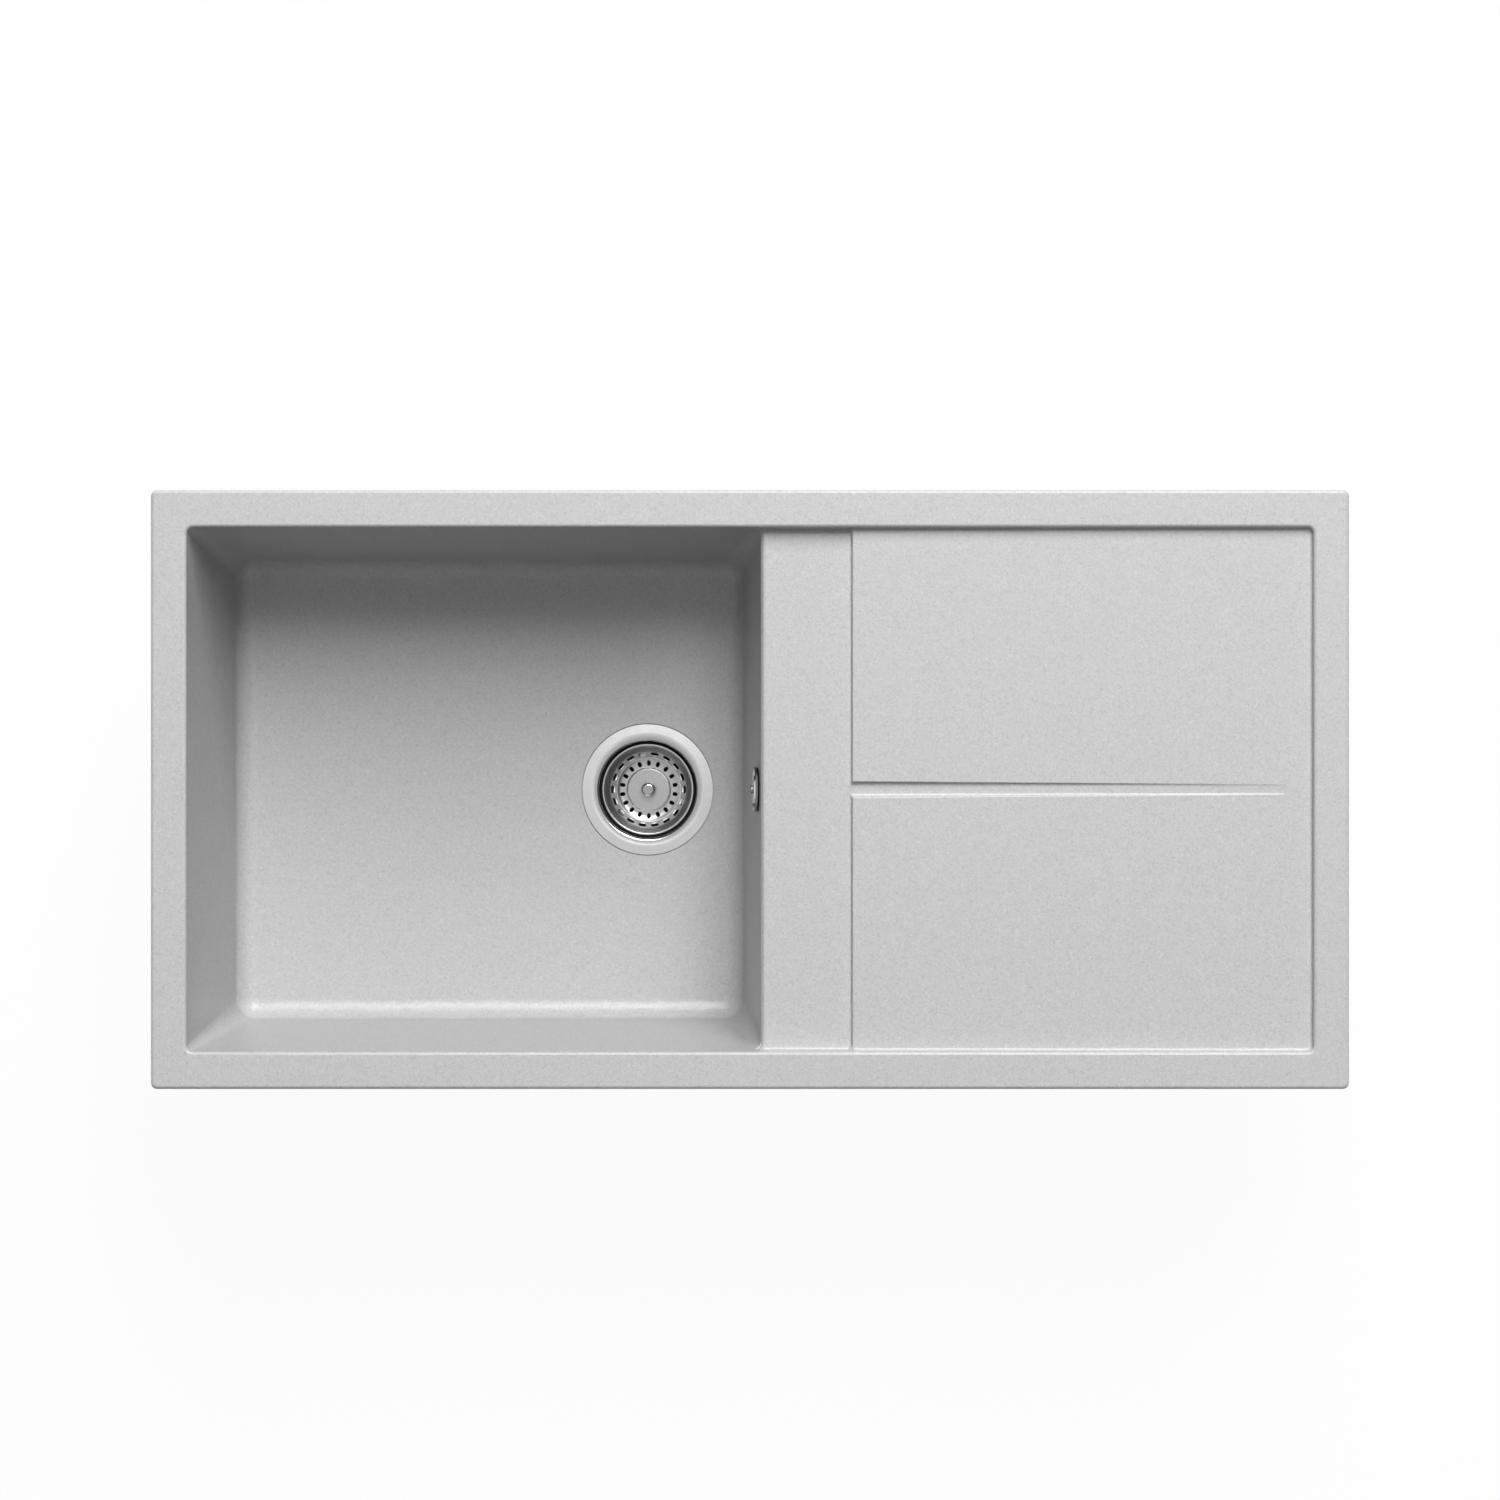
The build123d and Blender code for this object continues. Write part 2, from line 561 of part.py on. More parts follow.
def clamp():
    """One cranked clamp with a turned-up jaw of two teeth."""
    crank_end = CLAMP_FOOT + CLAMP_CRANK
    jaw_root = CLAMP_TOP + CLAMP_CRANK_RISE
    upper = FilletPolyline(
        (CLAMP_REACH, JAW_TIP),
        (CLAMP_REACH, jaw_root),
        (crank_end, jaw_root),
        (CLAMP_FOOT, CLAMP_TOP),
        (-CLAMP_WIDTH / 2, CLAMP_TOP),
        radius=CLAMP_BEND,
    )
    section = make_face(offset(upper, CLAMP_STEEL, side=Side.LEFT))
    strip = extrude(Plane.XZ * section, CLAMP_WIDTH / 2, both=True)
    heel = Circle(CLAMP_WIDTH / 2) + Pos(CLAMP_REACH, 0) * Rectangle(2 * CLAMP_REACH, CLAMP_WIDTH)
    strip &= Pos(0, 0, CLAMP_TOP - CLAMP_REACH) * extrude(heel, 2 * CLAMP_REACH)
    strip -= rod(CLAMP_SCREW_RADIUS + PASSING_GAP, CLAMP_TOP - CLAMP_REACH, JAW_TIP)
    notch = Cylinder(CLAMP_WIDTH / 5, 4 * CLAMP_STEEL)
    return strip - Pos(CLAMP_REACH, 0, JAW_TIP) * Rot(0, 90, 0) * notch


def at_waste(shape):
    """Moves a piece turned about Z to the waste's axis."""
    return Pos(WASTE_X, 0, 0) * shape


def cone_radius(height):
    """Radius inside the cup's cone at a height."""
    return THROAT_RADIUS - CONE_STEP * (FLANGE_TOP - CONE_TOP_DROP - height) / CONE_DROP


def waste_cup():
    """Drawn steel cup: a dished flange, a rolled throat, a cone for the strainer's seal and an open floor."""
    cone_top = FLANGE_TOP - CONE_TOP_DROP
    cone_foot = cone_top - CONE_DROP
    cone_foot_radius = THROAT_RADIUS - CONE_STEP
    bore = WASTE_SCREW_RADIUS + LOOSE_FIT
    upper = (
        (FLANGE_RADIUS, FLANGE_TOP - FLANGE_FALL),
        (FLANGE_CREST_RADIUS, FLANGE_TOP),
        (THROAT_RADIUS, FLANGE_TOP - FLANGE_DISH),
        (THROAT_RADIUS, cone_top),
        (cone_foot_radius, cone_foot),
        (cone_foot_radius - CUP_TAPER, CUP_FLOOR),
        (bore, CUP_FLOOR),
    )
    steel = CUP_STEEL
    cup = drawn_sheet(upper, (FLANGE_BEND, THROAT_ROUND, steel, 2 * steel, CUP_FOOT_ROUND), steel)
    arm = Rectangle(2 * CUP_DRAIN_RADIUS, CUP_ARM_WIDTH, align=(Align.MIN, Align.CENTER))
    turn = 360 / CUP_ARM_COUNT
    drain = Circle(CUP_DRAIN_RADIUS) - Circle(CUP_HUB_RADIUS)
    drain -= [Rot(0, 0, turn * k) * arm for k in range(CUP_ARM_COUNT)]
    drain = fillet(drain.vertices(), CUP_DRAIN_CORNER)
    cup -= Pos(0, 0, CUP_FLOOR - 2 * steel) * Rot(0, 0, 90 + SLOT_PITCH / 2) * extrude(drain, 3 * steel)
    return at_waste(cup)


def cup_gasket():
    """Flat gasket under the cup's flange."""
    inner = FLANGE_CREST_RADIUS + 2 * CUP_STEEL
    return at_waste(ring(inner, FLANGE_RADIUS - SEAT_GAP, SEAT_TOP, SEAT_TOP + CUP_GASKET))


def waste_body():
    """Moulded funnel with its hub, its threaded outlet and the overflow's inlet."""
    inside = BODY_RADIUS - BODY_WALL
    outlet_bore = OUTLET_RADIUS - BODY_WALL
    outside = turned(
        (0, BODY_TOP),
        (BODY_FLANGE_RADIUS, BODY_TOP),
        (BODY_FLANGE_RADIUS, BODY_TOP - BODY_FLANGE_THICKNESS),
        (BODY_RADIUS, BODY_TOP - BODY_FLANGE_THICKNESS),
        (BODY_RADIUS, FUNNEL_TOP),
        (OUTLET_RADIUS, OUTLET_TOP),
        (OUTLET_RADIUS, OUTLET_END),
        (0, OUTLET_END),
    )
    hollow = turned(
        (0, BODY_TOP + 1),
        (inside, BODY_TOP + 1),
        (inside, FUNNEL_TOP + BODY_WALL / 2),
        (outlet_bore, OUTLET_TOP + BODY_WALL / 2),
        (outlet_bore, OUTLET_END - 1),
        (0, OUTLET_END - 1),
    )
    arm = Box(2 * BODY_RADIUS, HUB_ARM_WIDTH, HUB_ARM_HEIGHT, align=(Align.CENTER, Align.CENTER, Align.MAX))
    turn = 360 / HUB_ARM_COUNT
    arms = [Rot(0, 0, turn * k) * Pos(0, 0, FUNNEL_TOP) * arm for k in range(HUB_ARM_COUNT // 2)]
    hub = rod(HUB_RADIUS, HUB_TOP - HUB_HEIGHT, HUB_TOP)
    body = outside - hollow
    body += [(arm & outside) for arm in arms] + [hub]
    body -= rod(WASTE_SCREW_RADIUS + LOOSE_FIT, HUB_TOP - HUB_HEIGHT - 1, HUB_TOP + 1)
    insert_top = HUB_TOP - HUB_HEIGHT + WASTE_INSERT_LENGTH
    body -= rod(WASTE_INSERT_RADIUS, HUB_TOP - HUB_HEIGHT - 1, insert_top)

    sideways = Plane((0, 0, SPIGOT_Z), x_dir=(0, 1, 0), z_dir=(1, 0, 0))
    end = SPIGOT_END - WASTE_X
    body += sideways * rod(SPIGOT_RADIUS, BODY_RADIUS - BODY_WALL / 2, end)
    body -= sideways * rod(PIPE_BORE, BODY_RADIUS - 2 * BODY_WALL, end)
    body -= sideways * rod(SOCKET_BORE, end - PIPE_SOCKET, end + 1)
    return at_waste(body)


def body_gasket():
    """Flat gasket between the funnel and the underside of the bowl's floor."""
    return at_waste(ring(BODY_RADIUS, BODY_FLANGE_RADIUS, BODY_TOP, FLOOR_UNDERSIDE))


def waste_insert():
    """Brass thread in the funnel's hub."""
    foot = HUB_TOP - HUB_HEIGHT
    bore = WASTE_SCREW_RADIUS + RUNNING_FIT
    return at_waste(ring(bore, WASTE_INSERT_RADIUS, foot, foot + WASTE_INSERT_LENGTH))


def waste_screw():
    """Screw that pulls the cup down on the floor and the funnel up under it."""
    head = rod(WASTE_HEAD_RADIUS, CUP_FLOOR, WASTE_HEAD_TOP)
    head = fillet(head.faces().sort_by(Axis.Z)[-1].edges(), WASTE_HEAD_HEIGHT / 3)
    return at_waste(head + rod(WASTE_SCREW_RADIUS, CUP_FLOOR - WASTE_SCREW_LENGTH, CUP_FLOOR))


def basket_shell():
    """The basket before its slots are punched."""
    neck_foot = BASKET_RIM - BASKET_NECK_HEIGHT
    shoulder = neck_foot - BASKET_SHOULDER_HEIGHT
    steel = BASKET_STEEL
    upper = (
        (BASKET_RIM_RADIUS, BASKET_RIM),
        (BASKET_NECK_RADIUS, BASKET_RIM),
        (BASKET_NECK_RADIUS - steel / 2, neck_foot),
        (BASKET_SHOULDER_RADIUS, shoulder),
        (BASKET_FOOT_RADIUS, BASKET_FLOOR + BASKET_DISH),
        (BASKET_FOOT_RADIUS - BASKET_DISH_WIDTH, BASKET_FLOOR),
        (BASKET_DISC_RADIUS + BASKET_DISC_RISE, BASKET_FLOOR),
        (BASKET_DISC_RADIUS, DISC_TOP),
        (STEM_RADIUS, DISC_TOP),
    )
    rounds = (1.5 * steel, 2 * steel, 4 * steel, 3 * steel, BASKET_DISH_ROUND, steel, 1.5 * steel)
    return drawn_sheet(upper, rounds, steel)


def strainer_basket():
    """Perforated basket: a ring of slots in the dished floor and, half a pitch round, a ring in the wall."""
    depth = BASKET_DEPTH
    floor_slot = Pos(0, 0, BASKET_FLOOR - depth / 2) * extrude(
        SlotOverall(FLOOR_SLOT_LENGTH, FLOOR_SLOT_WIDTH), depth * 0.8
    )
    wall_slot = RectangleRounded(WALL_SLOT_WIDTH, WALL_SLOT_HEIGHT, WALL_SLOT_CORNER)
    slot_height = BASKET_FLOOR + BASKET_DISH + WALL_SLOT_HEIGHT / 2 + 3 * BASKET_STEEL
    outwards = Plane((BASKET_FOOT_RADIUS / 2, 0, slot_height), x_dir=(0, 1, 0), z_dir=(1, 0, 0))
    wall_slot = outwards * extrude(wall_slot, BASKET_FOOT_RADIUS)
    slots = []
    for k in range(BASKET_SLOT_COUNT):
        slots.append(Rot(0, 0, 90 + k * SLOT_PITCH) * Pos(FLOOR_SLOT_RING, 0) * floor_slot)
        slots.append(Rot(0, 0, 90 + (k + 0.5) * SLOT_PITCH) * wall_slot)
    return at_waste(basket_shell() - slots)


def strainer_seal():
    """Rubber ring under the basket's rim, just clear of the cup's cone."""
    gap = PASSING_GAP * hypot(CONE_STEP, CONE_DROP) / CONE_DROP
    top = BASKET_RIM - BASKET_STEEL
    foot = top - SEAL_HEIGHT
    bevel_top = top - SEAL_LIP
    middle_of_neck = BASKET_NECK_RADIUS + BASKET_STEEL / 4
    outer = min(cone_radius(bevel_top), THROAT_RADIUS) - gap
    seal = turned(
        (middle_of_neck, foot),
        (cone_radius(foot) - gap, foot),
        (outer, bevel_top),
        (outer, top),
        (middle_of_neck, top),
    )
    return at_waste(seal - basket_shell())


def strainer_stem():
    """Stem from the knob through the basket, with a neck for the clip and a flange that holds it."""
    stem = rod(STEM_RADIUS, NUT_FOOT, DISC_TOP + STEM_IN_KNOB)
    stem += rod(STEM_NECK_RADIUS, STEM_FLANGE, NUT_FOOT)
    stem += rod(STEM_END_RADIUS, STEM_END, STEM_FLANGE)
    return at_waste(stem)


def strainer_knob():
    """Waisted knob, turned, with a well rounded head."""
    top = DISC_TOP + KNOB_HEIGHT
    edge = KNOB_RADIUS / 4
    outline = FilletPolyline(
        (0, DISC_TOP),
        (KNOB_FOOT_RADIUS, DISC_TOP),
        (KNOB_WAIST_RADIUS, DISC_TOP + 0.35 * KNOB_HEIGHT),
        (KNOB_RADIUS, DISC_TOP + 0.65 * KNOB_HEIGHT),
        (KNOB_RADIUS, top),
        (0, top),
        radius=[0, 0, edge, edge, KNOB_ROUND, 0],
        close=True,
    )
    knob = revolve(Plane.XZ * make_face(outline), Axis.Z)
    return at_waste(knob - rod(STEM_RADIUS, DISC_TOP - 1, DISC_TOP + STEM_IN_KNOB))


def strainer_nut():
    """Nut that holds the basket on the stem."""
    hexagon = RegularPolygon(STRAINER_NUT_WIDTH / 2, 6, major_radius=False)
    return at_waste(Pos(0, 0, NUT_FOOT) * extrude(hexagon - Circle(STEM_RADIUS), STRAINER_NUT_HEIGHT))


def strainer_clip():
    """Clip that turns on the stem's neck, with fingers round the head of the waste screw."""
    clip = rod(CLIP_RADIUS, CLIP_FOOT, CLIP_HEAD)
    clip -= rod(WASTE_HEAD_RADIUS + PASSING_GAP, CLIP_FOOT - 1, CLIP_ROOF)
    clip -= rod(STEM_NECK_RADIUS + RUNNING_FIT, CLIP_ROOF - 1, CLIP_HEAD + 1)
    slit_height = (CLIP_ROOF - CLIP_FOOT) * 0.8
    slit = Box(3 * CLIP_RADIUS, CLIP_SLIT_WIDTH, slit_height, align=(Align.CENTER, Align.CENTER, Align.MIN))
    turns = [180 * k / (CLIP_SLIT_COUNT // 2) for k in range(CLIP_SLIT_COUNT // 2)]
    return at_waste(clip - [Rot(0, 0, turn) * Pos(0, 0, CLIP_FOOT) * slit for turn in turns])


def overflow_rosette():
    """Pressed cover: a raised ring, a sunk channel with slots and a dome with holes."""
    steel = ROSETTE_STEEL
    channel_top = ROSETTE_SEAL + steel
    ring_inner = ROSETTE_RADIUS - ROSETTE_RING_WIDTH
    dome_radius = ring_inner - ROSETTE_CHANNEL_WIDTH
    upper = (
        (ROSETTE_RADIUS, channel_top),
        (ROSETTE_RADIUS - steel, ROSETTE_RING_HEIGHT),
        (ring_inner + steel, ROSETTE_RING_HEIGHT),
        (ring_inner, channel_top),
        (dome_radius, channel_top),
        (dome_radius - steel, ROSETTE_DOME_HEIGHT - steel / 2),
        (OVERFLOW_SCREW_RADIUS + LOOSE_FIT, ROSETTE_DOME_HEIGHT),
    )
    rosette = drawn_sheet(upper, (1.2 * steel, 1.2 * steel, steel / 2, steel / 2, 1.5 * steel), steel)
    slot_path = CenterArc((0, 0), dome_radius + ROSETTE_SLOT_WIDTH, 0, ROSETTE_SLOT_ANGLE)
    slot = SlotArc(slot_path, ROSETTE_SLOT_WIDTH)
    turn = 360 / ROSETTE_SLOT_COUNT
    cuts = [Rot(0, 0, turn * k) * extrude(slot, 3 * steel) for k in range(ROSETTE_SLOT_COUNT)]
    hole = rod(ROSETTE_HOLE_RADIUS, 0, 2 * ROSETTE_DOME_HEIGHT)
    cuts += [place * hole for place in PolarLocations(ROSETTE_HOLE_RING, ROSETTE_HOLE_COUNT)]
    return OVERFLOW_PLANE * (rosette - cuts)


def rosette_seal():
    """Thin seal between the rosette and the bowl's wall."""
    inner = OVERFLOW_HOLE_RADIUS + PASSING_GAP
    return OVERFLOW_PLANE * ring(inner, inner + ROSETTE_SEAL_WIDTH, 0, ROSETTE_SEAL)


def overflow_screw():
    """Raised-head screw through the middle of the rosette."""
    head = rod(OVERFLOW_HEAD_RADIUS, ROSETTE_DOME_HEIGHT, ROSETTE_DOME_HEIGHT + OVERFLOW_HEAD_HEIGHT)
    head = fillet(head.faces().sort_by(Axis.Z)[-1].edges(), OVERFLOW_HEAD_HEIGHT / 2)
    shank = rod(OVERFLOW_SCREW_RADIUS, ROSETTE_DOME_HEIGHT - OVERFLOW_SCREW_LENGTH, ROSETTE_DOME_HEIGHT)
    return OVERFLOW_PLANE * (head + shank)


def overflow_insert():
    """Brass thread at the tip of the elbow's post."""
    top = ROSETTE_DOME_HEIGHT - OVERFLOW_SCREW_LENGTH + OVERFLOW_INSERT_LENGTH
    bore = OVERFLOW_SCREW_RADIUS + RUNNING_FIT
    return OVERFLOW_PLANE * ring(bore, OVERFLOW_INSERT_RADIUS, top - OVERFLOW_INSERT_LENGTH, top)


def overflow_elbow():
    """Moulded elbow behind the wall: a neck in the hole, a chamber and an outlet that points down."""
    chamber_bore = ELBOW_RADIUS - ELBOW_WALL
    neck_radius = OVERFLOW_HOLE_RADIUS - PASSING_GAP
    insert_top = ROSETTE_DOME_HEIGHT - OVERFLOW_SCREW_LENGTH + OVERFLOW_INSERT_LENGTH
    insert_foot = insert_top - OVERFLOW_INSERT_LENGTH
    elbow = OVERFLOW_PLANE * rod(ELBOW_RADIUS, ELBOW_BACK, ELBOW_FRONT)
    elbow += OVERFLOW_PLANE * rod(ELBOW_FLANGE_RADIUS, ELBOW_FRONT - ELBOW_FLANGE_THICKNESS, ELBOW_FRONT)
    elbow += OVERFLOW_PLANE * rod(neck_radius, ELBOW_FRONT - 1, ELBOW_FRONT + ELBOW_NECK)
    elbow += Pos(PIPE_X, 0, 0) * rod(SPIGOT_RADIUS, ELBOW_OUTLET, ELBOW_AXIS_Z)
    elbow -= OVERFLOW_PLANE * rod(chamber_bore, ELBOW_BACK + ELBOW_WALL, ELBOW_FRONT + ELBOW_NECK + 1)
    elbow -= Pos(PIPE_X, 0, 0) * rod(PIPE_BORE, ELBOW_OUTLET, ELBOW_AXIS_Z)
    elbow -= Pos(PIPE_X, 0, 0) * rod(SOCKET_BORE, ELBOW_OUTLET - 1, ELBOW_OUTLET + PIPE_SOCKET)
    elbow += OVERFLOW_PLANE * rod(ELBOW_POST_RADIUS, ELBOW_BACK + 1, insert_top)
    elbow -= OVERFLOW_PLANE * rod(OVERFLOW_INSERT_RADIUS, insert_foot, insert_top + 1)
    return elbow


def overflow_gasket():
    """Gasket between the bowl's wall and the elbow's flange."""
    inner = OVERFLOW_HOLE_RADIUS
    return OVERFLOW_PLANE * ring(inner, ELBOW_FLANGE_RADIUS, ELBOW_FRONT, -WALL)


def overflow_pipe():
    """Rigid pipe, down behind the bowl and under it to the funnel's inlet."""
    route = FilletPolyline(
        (PIPE_X, 0, ELBOW_OUTLET + PIPE_SOCKET),
        (PIPE_X, 0, SPIGOT_Z),
        (SPIGOT_END - PIPE_SOCKET, 0, SPIGOT_Z),
        radius=PIPE_BEND,
    )
    section = Plane(route @ 0, z_dir=route % 0) * (Circle(PIPE_RADIUS) - Circle(PIPE_BORE))
    return sweep(section, route)


def pipe_nut():
    """Union nut with grip ribs, its open end towards -Z and its lip past the seal."""
    bore = SPIGOT_RADIUS + LOOSE_FIT
    outer = bore + NUT_WALL
    top = PIPE_SEAL + NUT_LIP
    nut = rod(outer, -NUT_THREAD, top)
    rib = rod(NUT_RIB_RADIUS, -NUT_THREAD, PIPE_SEAL)
    nut += [place * rib for place in PolarLocations(outer, NUT_RIB_COUNT)]
    nut -= rod(bore, -NUT_THREAD - 1, PIPE_SEAL)
    return nut - rod(PIPE_RADIUS + LOOSE_FIT, 0, top + 1)


def pipe_seal():
    """Square seal round the pipe, between the spigot's end and the nut's lip."""
    return ring(PIPE_RADIUS, SPIGOT_RADIUS, 0, PIPE_SEAL)


def all_pieces():
    """Every piece by its node's name. Equal fasteners share a node as separate solids."""
    places = clamp_places()
    upper_joint = Plane((PIPE_X, 0, ELBOW_OUTLET), x_dir=(1, 0, 0), z_dir=(0, 0, -1))
    lower_joint = Plane((SPIGOT_END, 0, SPIGOT_Z), x_dir=(0, 1, 0), z_dir=(1, 0, 0))
    pieces = {
        "sink_body": sink_body(),
        "rim_seal_strip": rim_seal_strip(),
        "clamp_inserts": Compound([place * clamp_insert() for place in places.values()]),
        "clamp_screws": Compound([place * clamp_screw() for place in places.values()]),
    }
    for name, place in places.items():
        pieces[name] = place * clamp()
    pieces.update(
        waste_cup=waste_cup(),
        cup_gasket=cup_gasket(),
        waste_body=waste_body(),
        body_gasket=body_gasket(),
        waste_screw=waste_screw(),
        waste_insert=waste_insert(),
        strainer_basket=strainer_basket(),
        strainer_seal=strainer_seal(),
        strainer_knob=strainer_knob(),
        strainer_stem=strainer_stem(),
        strainer_nut=strainer_nut(),
        strainer_clip=strainer_clip(),
        overflow_rosette=overflow_rosette(),
        rosette_seal=rosette_seal(),
        overflow_screw=overflow_screw(),
        overflow_elbow=overflow_elbow(),
        overflow_gasket=overflow_gasket(),
        overflow_insert=overflow_insert(),
        overflow_pipe=overflow_pipe(),
        upper_pipe_nut=upper_joint * pipe_nut(),
        upper_pipe_seal=upper_joint * pipe_seal(),
        lower_pipe_nut=lower_joint * pipe_nut(),
        lower_pipe_seal=lower_joint * pipe_seal(),
    )
    return pieces


os.makedirs("parts", exist_ok=True)
for node, piece in all_pieces().items():
    export_step(piece, f"parts/{node}.step")
    print(f"{node}: {len(piece.solids())} solid(s), {piece.volume / 1000:.2f} cm3")
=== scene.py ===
"""Looks of an inset kitchen sink in granite composite: finishes, threads, studio light and camera.

Metres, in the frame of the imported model: the origin lies on the worktop's surface in the middle of the
sink, +X runs towards the drainer, +Y towards the back edge and +Z up.
"""
import logging
import math
from abc import ABC, abstractmethod
from dataclasses import dataclass
from enum import Enum
from typing import Any

import bmesh
import bpy
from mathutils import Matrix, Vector


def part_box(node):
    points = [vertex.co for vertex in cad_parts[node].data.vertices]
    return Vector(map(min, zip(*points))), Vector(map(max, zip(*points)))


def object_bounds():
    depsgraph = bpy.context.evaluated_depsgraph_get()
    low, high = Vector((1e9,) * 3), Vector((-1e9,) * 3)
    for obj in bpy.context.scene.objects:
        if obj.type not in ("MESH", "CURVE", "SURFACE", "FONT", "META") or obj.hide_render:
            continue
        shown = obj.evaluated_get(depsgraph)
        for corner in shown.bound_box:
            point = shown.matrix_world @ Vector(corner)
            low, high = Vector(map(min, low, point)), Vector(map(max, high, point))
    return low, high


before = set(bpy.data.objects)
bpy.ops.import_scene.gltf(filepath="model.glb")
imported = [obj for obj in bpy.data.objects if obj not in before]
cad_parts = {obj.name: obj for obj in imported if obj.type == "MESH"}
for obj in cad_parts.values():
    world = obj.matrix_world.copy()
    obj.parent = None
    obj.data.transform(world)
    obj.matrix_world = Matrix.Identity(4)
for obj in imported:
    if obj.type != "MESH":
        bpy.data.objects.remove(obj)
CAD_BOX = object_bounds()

LOG = logging.getLogger("sink")
MM = 0.001
SEAM_GAP = 0.002 * MM
CREASE = math.radians(28.0)
FLAT_FACE_WEIGHT = 80
WHITE = (1.0, 1.0, 1.0, 1.0)

Colour = tuple[float, float, float]
Place = tuple[float, float, float]
Node = bpy.types.Node
Socket = bpy.types.NodeSocket
Tree = bpy.types.NodeTree


class Slot(Enum):
    """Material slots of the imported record."""

    GRANITE = "granite"
    FOAM = "foam"
    BRASS = "brass"
    ZINC = "zinc_steel"
    SATIN = "satin_steel"
    BRIGHT = "bright_steel"
    RUBBER = "black_rubber"
    DARK = "dark_plastic"
    CLIP = "clip_plastic"


class Blend(Enum):
    """Ways in which two colours are mixed."""

    MULTIPLY = "MULTIPLY"
    MIX = "MIX"


class Ease(Enum):
    """Ways in which a ramp runs from its beginning to its end."""

    EVEN = "LINEAR"
    SOFT = "SMOOTHSTEP"


class Sheet:
    """Writes nodes and links into one node tree."""

    def __init__(self, tree: Tree) -> None:
        """Starts on an empty tree."""
        self.tree = tree
        self.tree.nodes.clear()

    def add(self, kind: str, inputs: dict[str | int, Any] | None = None, **settings: Any) -> Node:
        """Adds a node.

        Args:
            kind: Blender's name for the node type.
            inputs: values, or sockets to link from, by the input's name or number.
            settings: properties of the node itself.

        Returns:
            The new node.
        """
        node = self.tree.nodes.new(kind)
        for name, value in settings.items():
            setattr(node, name, value)
        for key, value in (inputs or {}).items():
            if isinstance(value, Socket):
                self.join(value, node.inputs[key])
            else:
                node.inputs[key].default_value = value
        return node

    def join(self, source: Socket, target: Socket) -> None:
        """Links two sockets."""
        self.tree.links.new(source, target)

    def math(self, operation: str, first: Any, second: Any = 0.0, third: Any = 0.0) -> Socket:
        """Adds a Math node.

        Args:
            operation: the node's operation.
            first: first value or socket.
            second: second value or socket.
            third: third value or socket.

        Returns:
            The result's socket.
        """
        inputs = {0: first, 1: second, 2: third}
        return self.add("ShaderNodeMath", inputs, operation=operation).outputs[0]

    def vector(self, operation: str, first: Any, second: Any, output: str = "Vector") -> Socket:
        """Adds a Vector Math node.

        Args:
            operation: the node's operation.
            first: first vector or socket.
            second: second vector or socket.
            output: name of the output to return.

        Returns:
            That output's socket.
        """
        return self.add("ShaderNodeVectorMath", {0: first, 1: second}, operation=operation).outputs[output]

    def length(self, vector: Socket) -> Socket:
        """Length of a vector."""
        return self.add("ShaderNodeVectorMath", {0: vector}, operation="LENGTH").outputs["Value"]

    def ramp(
        self, value: Any, start: float, end: float, low: float, high: float, ease: Ease = Ease.SOFT
    ) -> Socket:
        """Adds a ramp from one level to another.

        Args:
            value: value or socket.
            start: where the ramp begins.
            end: where it ends.
            low: level before it.
            high: level after it.
            ease: how it runs.

        Returns:
            The result's socket.
        """
        inputs = {0: value, 1: start, 2: end, 3: low, 4: high}
        return self.add("ShaderNodeMapRange", inputs, interpolation_type=ease.value).outputs[0]

    def between(self, factor: Any, first: Any, second: Any) -> Socket:
        """Adds a mix of two values.

        Args:
            factor: share of the second value.
            first: first value or socket.
            second: second value or socket.

        Returns:
            The result's socket.
        """
        return self.add("ShaderNodeMix", {0: factor, 2: first, 3: second}, data_type="FLOAT").outputs[0]

    def mix(self, factor: Any, first: Any, second: Any, blend: Blend = Blend.MIX) -> Socket:
        """Adds a colour mix.

        Args:
            factor: share of the second colour.
            first: first colour or socket.
            second: second colour or socket.
            blend: how the two are mixed.

        Returns:
            The result's socket.
        """
        inputs = {0: factor, 6: first, 7: second}
        return self.add("ShaderNodeMix", inputs, data_type="RGBA", blend_type=blend.value).outputs[2]

    def tinted(self, colour: Any, shade: Socket) -> Socket:
        """Multiplies a colour by a shade.

        Args:
            colour: colour with its alpha, or socket.
            shade: factor about 1.

        Returns:
            The result's socket.
        """
        grey = self.add("ShaderNodeCombineColor", {0: shade, 1: shade, 2: shade}).outputs[0]
        return self.mix(1.0, colour, grey, Blend.MULTIPLY)

    def place(self) -> Socket:
        """Place on the piece, in the piece's own frame."""
        return self.add("ShaderNodeTexCoord").outputs["Object"]

    def upright(self, vector: Socket) -> Socket:
        """Upright share of a vector."""
        return self.add("ShaderNodeSeparateXYZ", {0: vector}).outputs["Z"]

    def group(self, tree: Tree, **inputs: Any) -> Node:
        """Places a shared node group; an input's name has underscores for spaces."""
        named = {name.replace("_", " "): value for name, value in inputs.items()}
        return self.add("ShaderNodeGroup", named, node_tree=tree)


